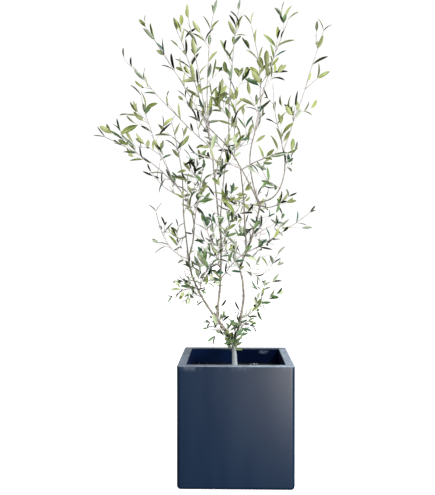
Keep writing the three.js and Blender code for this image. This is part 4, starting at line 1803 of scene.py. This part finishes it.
@dataclass
class Foliage:
    """All the leaves, dealt out by spray to tones and joined into one piece for each tone.

    A zone is a height with the share that each tone has of the leaves there, in the order of Tone.
    """

    growth: OliveGrowth
    seed: int = 5150
    shapes: tuple[LeafShape, ...] = (
        LeafShape(0.10, 0.6, 0.0),
        LeafShape(0.26, 0.4, 0.5),
        LeafShape(-0.12, 0.75, -0.4),
        LeafShape(0.18, 0.3, -0.9),
    )
    # The last share of each zone is the painted shade of near-black leaves: none at the fork, the most in
    # the heart.
    zones: tuple[tuple[float, tuple[float, ...]], ...] = (
        (0.475, (0.14, 0.16, 0.4, 0.16, 0.14, 0.0)),
        (0.51, (0.0, 0.07, 0.25, 0.3, 0.08, 0.3)),
        (0.75, (0.0, 0.08, 0.25, 0.17, 0.28, 0.22)),
        (1.05, (0.1, 0.22, 0.22, 0.14, 0.07, 0.25)),
        (1.4, (0.28, 0.43, 0.07, 0.03, 0.04, 0.15)),
    )
    strays: float = 0.35
    grows_above: float = 0.6
    grows_over: float = 0.8
    broader: Pair = (0.86, 1.02)
    longer: Pair = (1.0, 1.15)
    sharp: float = math.radians(50)

    def _pick(self, height: float, source: Draws) -> Tone:
        """Draws a tone by the height: mostly young and olive at the top, greener in the heart, where more
        leaves take the near-black tone of painted shade.

        Args:
            height: The height.
            source: The draws.

        Returns:
            The tone.
        """
        heights = [zone[0] for zone in self.zones]
        drawn = source.next()
        for k, tone in enumerate(Tone):
            drawn -= float(np.interp(height, heights, [zone[1][k] for zone in self.zones]))
            if drawn <= 0:
                return tone
        return Tone.OLIVE

    def _deal(self) -> dict[Tone, list[tuple[int, Leaf]]]:
        """Deals each leaf a shape, and a tone that is mostly that of its spray. The near-black leaves of
        painted shade stand singly.

        Returns:
            The leaves of each tone, each with the number of its shape.
        """
        dealt = {tone: [] for tone in Tone}
        by_spray: dict[int, Tone] = {}
        source = Draws(self.seed)
        for leaf in self.growth.leaves:
            own = self._pick(leaf.base.z, source)
            stray = source.next() < self.strays
            shape = int(source.next() * len(self.shapes))
            # A spray never shares the painted-shade tone.
            shared = by_spray.setdefault(leaf.spray, own if own is not Tone.PAINTED_SHADE else Tone.GREEN)
            tone = own if stray or own is Tone.PAINTED_SHADE else shared
            dealt[tone].append((shape, leaf))
        return dealt

    def _placed(self, flat: np.ndarray, leaf: Leaf, breadth: float) -> np.ndarray:
        """Puts a leaf in its place. Leaves high in the crown are a little longer and broader.

        Args:
            flat: The vertices of its shape.
            leaf: The leaf.
            breadth: How broad its tone's leaves stand.

        Returns:
            The vertices in place.
        """
        high = clamp((leaf.base.z - self.grows_above) / self.grows_over)
        width = leaf.width * breadth * lerp(*self.broader, high)
        length = leaf.length * lerp(*self.longer, high)
        side = leaf.direction.cross(leaf.face)
        turn = np.array([side * width, leaf.direction * length, leaf.face * length])
        return flat @ turn + np.array(Sway.moved(leaf.base))

    def build(self) -> None:
        """Makes the pieces."""
        templates = [shape.template() for shape in self.shapes]
        dealt = self._deal()
        made: dict[str, bpy.types.Material] = {}
        for tone, look in TONE_LOOKS.items():
            for finish in look.finishes():
                if finish.name not in made:
                    made[finish.name] = finish.material()
            copies: list[tuple[np.ndarray, Faces]] = []
            kinds: list[int] = []
            for shape, leaf in dealt[tone]:
                flat, outline, numbers = templates[shape]
                copies.append((self._placed(flat, leaf, look.breadth), outline))
                kinds += numbers
            mesh = joined_copies(f"{tone.value}_leaves", copies)
            mesh.polygons.foreach_set("material_index", kinds)
            mesh.shade_smooth()
            mesh.set_sharp_from_angle(angle=self.sharp)
            finished_piece(mesh.name, mesh, [made[finish.name] for finish in look.finishes()])
        log.info("leaves: %d", len(self.growth.leaves))


@dataclass
class Planter:
    """The square planter: a thick-walled box with softened edges and four drain holes."""

    wall: float = 30 * MM
    floor: float = 30 * MM
    corner: float = 13 * MM
    inner_corner: float = 7 * MM
    corner_steps: int = 6
    rim_edge: float = 3 * MM
    foot_edge: float = 12 * MM
    edge_steps: int = 4
    sharp: float = math.radians(60)
    hair: float = 0.1 * MM
    hollow_margin: float = 0.3 * MM
    drain_radius: float = 8 * MM
    drain_place: float = 90 * MM
    drain_sides: int = 24

    def build(self) -> None:
        """Makes the piece from the size of the planter's solid."""
        low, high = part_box("planter")
        size = high - low
        shell = bmesh.new()
        place = Matrix.Translation((low + high) / 2) @ Matrix.Diagonal((*size, 1))
        bmesh.ops.create_cube(shell, size=1.0, matrix=place)
        top = max(shell.faces, key=lambda face: face.calc_center_median().z)
        bmesh.ops.inset_region(shell, faces=[top], thickness=self.wall, use_even_offset=True)
        sunk = bmesh.ops.extrude_face_region(shell, geom=[top])
        moved = [item for item in sunk["geom"] if isinstance(item, bmesh.types.BMVert)]
        bmesh.ops.translate(shell, verts=moved, vec=(0, 0, self.floor - size.z))
        bmesh.ops.delete(shell, geom=[top], context="FACES_ONLY")
        self._soften(shell, size)
        mesh = self._drained(mesh_of("planter_shell", shell))
        mesh.shade_smooth()
        mesh.set_sharp_from_angle(angle=self.sharp)
        self._mark_hollow(mesh, size)
        finishes = (FibreClayFinish(size.z, size.y / 2 - self.wall), HollowFinish())
        materials = [finish.material() for finish in finishes]
        piece = finished_piece("planter_shell", mesh, materials, ("planter",))
        piece.modifiers.new("even_shading", "WEIGHTED_NORMAL").keep_sharp = True

    def _soften(self, shell: bmesh.types.BMesh, size: Vector) -> None:
        """Rounds the upright edges, the rim and the foot.

        Args:
            shell: The planter's form, which is changed.
            size: Its size.
        """
        half = size.x / 2
        for reach, radius in ((half, self.corner), (half - self.wall, self.inner_corner)):
            upright = [
                edge for edge in shell.edges
                if abs(edge.verts[0].co.z - edge.verts[1].co.z) > size.z / 2
                and abs(abs(edge.verts[0].co.x) - reach) < MM
                and abs(abs(edge.verts[0].co.y) - reach) < MM
            ]
            self._round(shell, upright, radius, self.corner_steps)
        shell.normal_update()
        for height, radius in ((size.z, self.rim_edge), (0.0, self.foot_edge)):
            around = [
                edge for edge in shell.edges
                if all(abs(vert.co.z - height) < self.hair for vert in edge.verts)
                and len(edge.link_faces) == 2
                and edge.calc_face_angle(0) > self.sharp
            ]
            self._round(shell, around, radius, self.edge_steps)

    @staticmethod
    def _round(shell: bmesh.types.BMesh, edges: list[bmesh.types.BMEdge], radius: float, steps: int) -> None:
        """Rounds edges of the planter's form."""
        bmesh.ops.bevel(shell, geom=edges, offset=radius, offset_type="OFFSET", segments=steps, profile=0.5,
                        affect="EDGES", material=-1)

    def _mark_hollow(self, mesh: bpy.types.Mesh, size: Vector) -> None:
        """Gives the faces of the hollow, above the floor and below the rim's edge, the second material,
        whose dark colour is painted shade.

        Args:
            mesh: The planter's mesh, which is changed.
            size: Its size.
        """
        hollow = size.x / 2 - self.wall + self.hollow_margin
        for face in mesh.polygons:
            inside = max(abs(face.center.x), abs(face.center.y)) < hollow
            face.material_index = int(inside and self.floor / 2 < face.center.z < size.z - self.rim_edge)

    def _drained(self, mesh: bpy.types.Mesh) -> bpy.types.Mesh:
        """Cuts the drain holes through the floor.

        Args:
            mesh: The planter's mesh.

        Returns:
            The mesh with its holes.
        """
        drill = bmesh.new()
        radius = self.drain_radius
        for x in (-self.drain_place, self.drain_place):
            for y in (-self.drain_place, self.drain_place):
                place = Matrix.Translation((x, y, self.floor / 2))
                bmesh.ops.create_cone(drill, cap_ends=True, segments=self.drain_sides, radius1=radius,
                                      radius2=radius, depth=2 * self.floor, matrix=place)
        tool = in_scene("drill", mesh_of("drill", drill))
        shell = in_scene("planter_shell", mesh)
        cut = shell.modifiers.new("drains", "BOOLEAN")
        cut.operation = "DIFFERENCE"
        cut.object = tool
        drained = evaluated_mesh(shell)
        bpy.data.objects.remove(tool)
        drained.name = "planter_shell"
        return drained


@dataclass
class Soil:
    """Dark potting soil with crumbs of bark and white grains, heaped a little round the trunk. Its
    near-black, blue-tinged colour is partly the soil's own and partly painted shade.

    The rough surface is a noise of a scale, a roughness, a step between its octaves and a number of octaves.
    """

    trunk: TrunkRule
    seed: int = 77
    cells: int = 90
    sunk: float = 2 * MM
    uneven: float = 3.5 * MM
    rough_scale: float = 30.0
    rough: tuple[float, float, int] = (0.9, 2.0, 4)
    heap: float = 6 * MM
    heap_width: float = 40 * MM
    sharp: float = math.radians(60)
    crumbs: int = 900
    crumb_size: Pair = (1.2 * MM, 4.5 * MM)
    grains: int = 70
    grain_size: Pair = (1.0 * MM, 2.6 * MM)
    cluster: Area = (0.055, 0.092, 0.138, 0.162)
    cluster_count: int = 8
    cluster_size: Pair = (3.5 * MM, 5.5 * MM)
    lump_turn: float = 6.0
    lump_length: Pair = (0.8, 1.6)
    lump_height: Pair = (0.5, 0.9)
    lump_proud: float = 0.2
    # The bed's and the crumbs' colours are partly the soil's own dark and partly painted shade, with a blue
    # cast.
    bed: GrainFinish = GrainFinish("potting_soil", linear(9, 10, 15), linear(25, 24, 27), 300.0)
    crumb: GrainFinish = GrainFinish("soil_crumb", linear(11, 12, 16), linear(30, 29, 31), 500.0)
    grain: GrainFinish = GrainFinish("white_grain", linear(196, 196, 190), linear(232, 232, 228), 500.0)

    def height(self, x: float, y: float, top: float) -> float:
        """Works out the height of the soil at a place.

        Args:
            x: How far right the place is.
            y: How far back it is.
            top: The top of the soil's solid.

        Returns:
            The height.
        """
        rough = noise.fractal(Vector((x, y, 0.0)) * self.rough_scale, *self.rough) * self.uneven
        off = math.hypot(x - self.trunk.foot[0], y - self.trunk.foot[1])
        return top - self.sunk + rough + self.heap * math.exp(-((off / self.heap_width) ** 2))

    def build(self) -> None:
        """Makes the bed and what lies on it."""
        low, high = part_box("soil")
        half = (high.x - low.x) / 2
        bed = bmesh.new()
        bmesh.ops.create_grid(bed, x_segments=self.cells, y_segments=self.cells, size=half)
        for vert in bed.verts:
            vert.co.z = self.height(vert.co.x, vert.co.y, high.z)
        rim = [edge for edge in bed.edges if edge.is_boundary]
        walls = bmesh.ops.extrude_edge_only(bed, edges=rim)
        feet = [item for item in walls["geom"] if isinstance(item, bmesh.types.BMVert)]
        for vert in feet:
            vert.co.z = low.z
        bmesh.ops.contextual_create(bed, geom=[e for e in bed.edges if e.is_boundary])
        bmesh.ops.recalc_face_normals(bed, faces=bed.faces)
        mesh = mesh_of("soil_bed", bed)
        mesh.shade_smooth()
        mesh.set_sharp_from_angle(angle=self.sharp)
        finished_piece("soil_bed", mesh, [self.bed.material()], ("soil",))
        source = Draws(self.seed)
        area = (-half, half, -half, half)
        crumbs = self._lumps(self.crumbs, self.crumb_size, area, source)
        self._scatter("soil_crumbs", crumbs, high.z, source, self.crumb)
        grains = self._lumps(self.grains, self.grain_size, area, source)
        grains += self._lumps(self.cluster_count, self.cluster_size, self.cluster, source)
        self._scatter("white_grains", grains, high.z, source, self.grain)

    @staticmethod
    def _lumps(count: int, size: Pair, area: Area, source: Draws) -> list[Triple]:
        """Draws lumps, scattered over an area.

        Args:
            count: How many there are.
            size: The least and the greatest diameter.
            area: The area, from x to x and from y to y.
            source: The draws.

        Returns:
            The place and the radius of each, as x, y and radius.
        """
        lumps = []
        for _ in range(count):
            diameter = source.between(*size)
            x = source.between(area[0] + diameter, area[1] - diameter)
            y = source.between(area[2] + diameter, area[3] - diameter)
            lumps.append((x, y, diameter / 2))
        return lumps

    def _scatter(self, name: str, lumps: list[Triple], top: float, source: Draws,
                 finish: GrainFinish) -> None:
        """Lays small lumps on the soil and joins them into one piece.

        Args:
            name: The piece's name.
            lumps: The place and radius of each lump.
            top: The top of the soil's solid.
            source: The draws.
            finish: What the lumps look like.
        """
        lump = bmesh.new()
        bmesh.ops.create_icosphere(lump, subdivisions=1, radius=1.0)
        flat = np.array([v.co[:] for v in lump.verts])
        outline = [[v.index for v in face.verts] for face in lump.faces]
        lump.free()
        copies = []
        for x, y, radius in lumps:
            axis = (source.next(), source.next(), source.next())
            turn = Quaternion(axis, source.next() * self.lump_turn).to_matrix()
            sizes = (source.between(*self.lump_length), 1.0, source.between(*self.lump_height))
            shape = np.diag([radius * size for size in sizes])
            place = np.array((x, y, self.height(x, y, top) + self.lump_proud * radius))
            copies.append((flat @ shape @ np.array(turn) + place, outline))
        finished_piece(name, joined_copies(name, copies), [finish.material()])


@dataclass(frozen=True)
class Lamp:
    """A soft square lamp that looks at a point."""

    name: str
    place: Triple
    target: Triple
    size: float
    power: float
    colour: Triple

    def build(self) -> None:
        """Adds the lamp."""
        data = bpy.data.lights.new(self.name, "AREA")
        data.size = self.size
        data.energy = self.power
        data.color = self.colour
        lamp = in_scene(self.name, data)
        lamp.location = self.place
        lamp.rotation_euler = (Vector(self.target) - Vector(self.place)).to_track_quat("-Z", "Y").to_euler()


@dataclass
class Studio:
    """The camera at the photograph's view, a pale floor and soft white light."""

    image: tuple[int, int] = (435, 495)
    focal_pixels: float = 653.0
    vanishing_point: Pair = (232.0, 241.4)
    camera_place: Triple = (-0.013, -2.397, 0.841)
    sensor: float = 36.0
    floor_size: float = 40.0
    floor_gap: float = 0.5 * MM
    floor_rough: float = 0.9
    floor_gloss: float = 0.1
    floor_colour: Colour = (0.9, 0.9, 0.9, 1.0)
    floor_glow: float = 0.85
    seen_white: float = 1.05
    sky_heights: Pair = (-0.3, 0.7)
    sky_light: Pair = (0.14, 0.66)
    sky_colour: Colour = (1.0, 1.0, 0.98, 1.0)
    lamps: tuple[Lamp, ...] = (
        Lamp("key", (2.0, -2.4, 3.2), (0.0, 0.0, 1.0), 0.8, 150.0, (1.0, 0.98, 0.93)),
        Lamp("side_window", (2.4, -0.2, 0.8), (0.1, 0.0, 0.5), 1.2, 10.0, (0.96, 0.98, 1.0)),
        Lamp("back_fill", (0.0, 2.8, 2.2), (0.0, 0.0, 1.1), 1.6, 12.0, (0.97, 0.99, 1.0)),
        Lamp("pot_sheen", (0.62, -1.6, 0.2), (0.16, -0.2, 0.3), 0.35, 27.0, (1.0, 0.93, 0.84)),
    )

    def build(self) -> None:
        """Adds the camera, the floor, the sky and the lamps."""
        self._camera()
        self._floor()
        self._sky()
        for lamp in self.lamps:
            lamp.build()

    def _camera(self) -> None:
        """Looks level along the planter's depth, turned so that the vanishing point falls where it does."""
        data = bpy.data.cameras.new("photo_camera")
        data.sensor_width = self.sensor
        data.lens = self.sensor * self.focal_pixels / max(self.image)
        camera = in_scene("photo_camera", data)
        camera.location = self.camera_place
        right = self.vanishing_point[0] - self.image[0] / 2
        above = self.image[1] / 2 - self.vanishing_point[1]
        yaw = math.atan2(right, self.focal_pixels)
        pitch = math.atan2(above, self.focal_pixels)
        camera.rotation_euler = (QUARTER_TURN - pitch, 0.0, yaw)
        bpy.context.scene.camera = camera

    def _floor(self) -> None:
        """Lays a plain pale floor, a hair below the planter's underside so that only one of them shows."""
        ground = bmesh.new()
        place = Matrix.Translation((0, 0, -self.floor_gap))
        bmesh.ops.create_grid(ground, x_segments=1, y_segments=1, size=self.floor_size / 2, matrix=place)
        mesh = mesh_of("floor", ground)
        sheet = Sheet("pale_floor", self.floor_rough, self.floor_gloss)
        sheet.shader.inputs["Base Color"].default_value = self.floor_colour
        sheet.shader.inputs["Emission Color"].default_value = WHITE
        sheet.shader.inputs["Emission Strength"].default_value = self.floor_glow
        mesh.materials.append(sheet.material)
        floor = in_scene("floor", mesh)
        floor.visible_diffuse = False
        floor.visible_glossy = False

    def _sky(self) -> None:
        """Adds a white surround. It lights the scene more softly than it shows, and more from above."""
        world = bpy.data.worlds.new("white_surround")
        world.use_nodes = True
        tree = world.node_tree
        seen = tree.nodes["Background"]
        seen.inputs["Color"].default_value = WHITE
        seen.inputs["Strength"].default_value = self.seen_white
        direction = add_node(tree, "ShaderNodeTexCoord", {}).outputs["Generated"]
        height = add_node(tree, "ShaderNodeSeparateXYZ", {0: direction}).outputs["Z"]
        ends = zip(("From Min", "From Max", "To Min", "To Max"), (*self.sky_heights, *self.sky_light))
        strength = add_node(tree, "ShaderNodeMapRange", {"Value": height, **dict(ends)}).outputs["Result"]
        light = add_node(tree, "ShaderNodeBackground", {"Color": self.sky_colour, "Strength": strength})
        is_seen = add_node(tree, "ShaderNodeLightPath", {}).outputs["Is Camera Ray"]
        shown = {"Fac": is_seen, 1: light.outputs["Background"], 2: seen.outputs["Background"]}
        surround = add_node(tree, "ShaderNodeMixShader", shown).outputs["Shader"]
        tree.links.new(surround, tree.nodes["World Output"].inputs["Surface"])
        scene = bpy.context.scene
        scene.world = world
        scene.view_settings.view_transform = "Standard"
        scene.view_settings.look = "None"


def main() -> None:
    """Builds the finished tree and planter round the frame."""
    logging.basicConfig(level=logging.INFO, format="%(name)s %(message)s")
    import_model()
    Studio().build()
    Sway.start()
    growth = OliveGrowth()
    Planter().build()
    Soil(growth.trunk).build()
    Bark(growth).build()
    Twigs(growth).build()
    Foliage(growth).build()


if __name__ == "__main__":
    main()
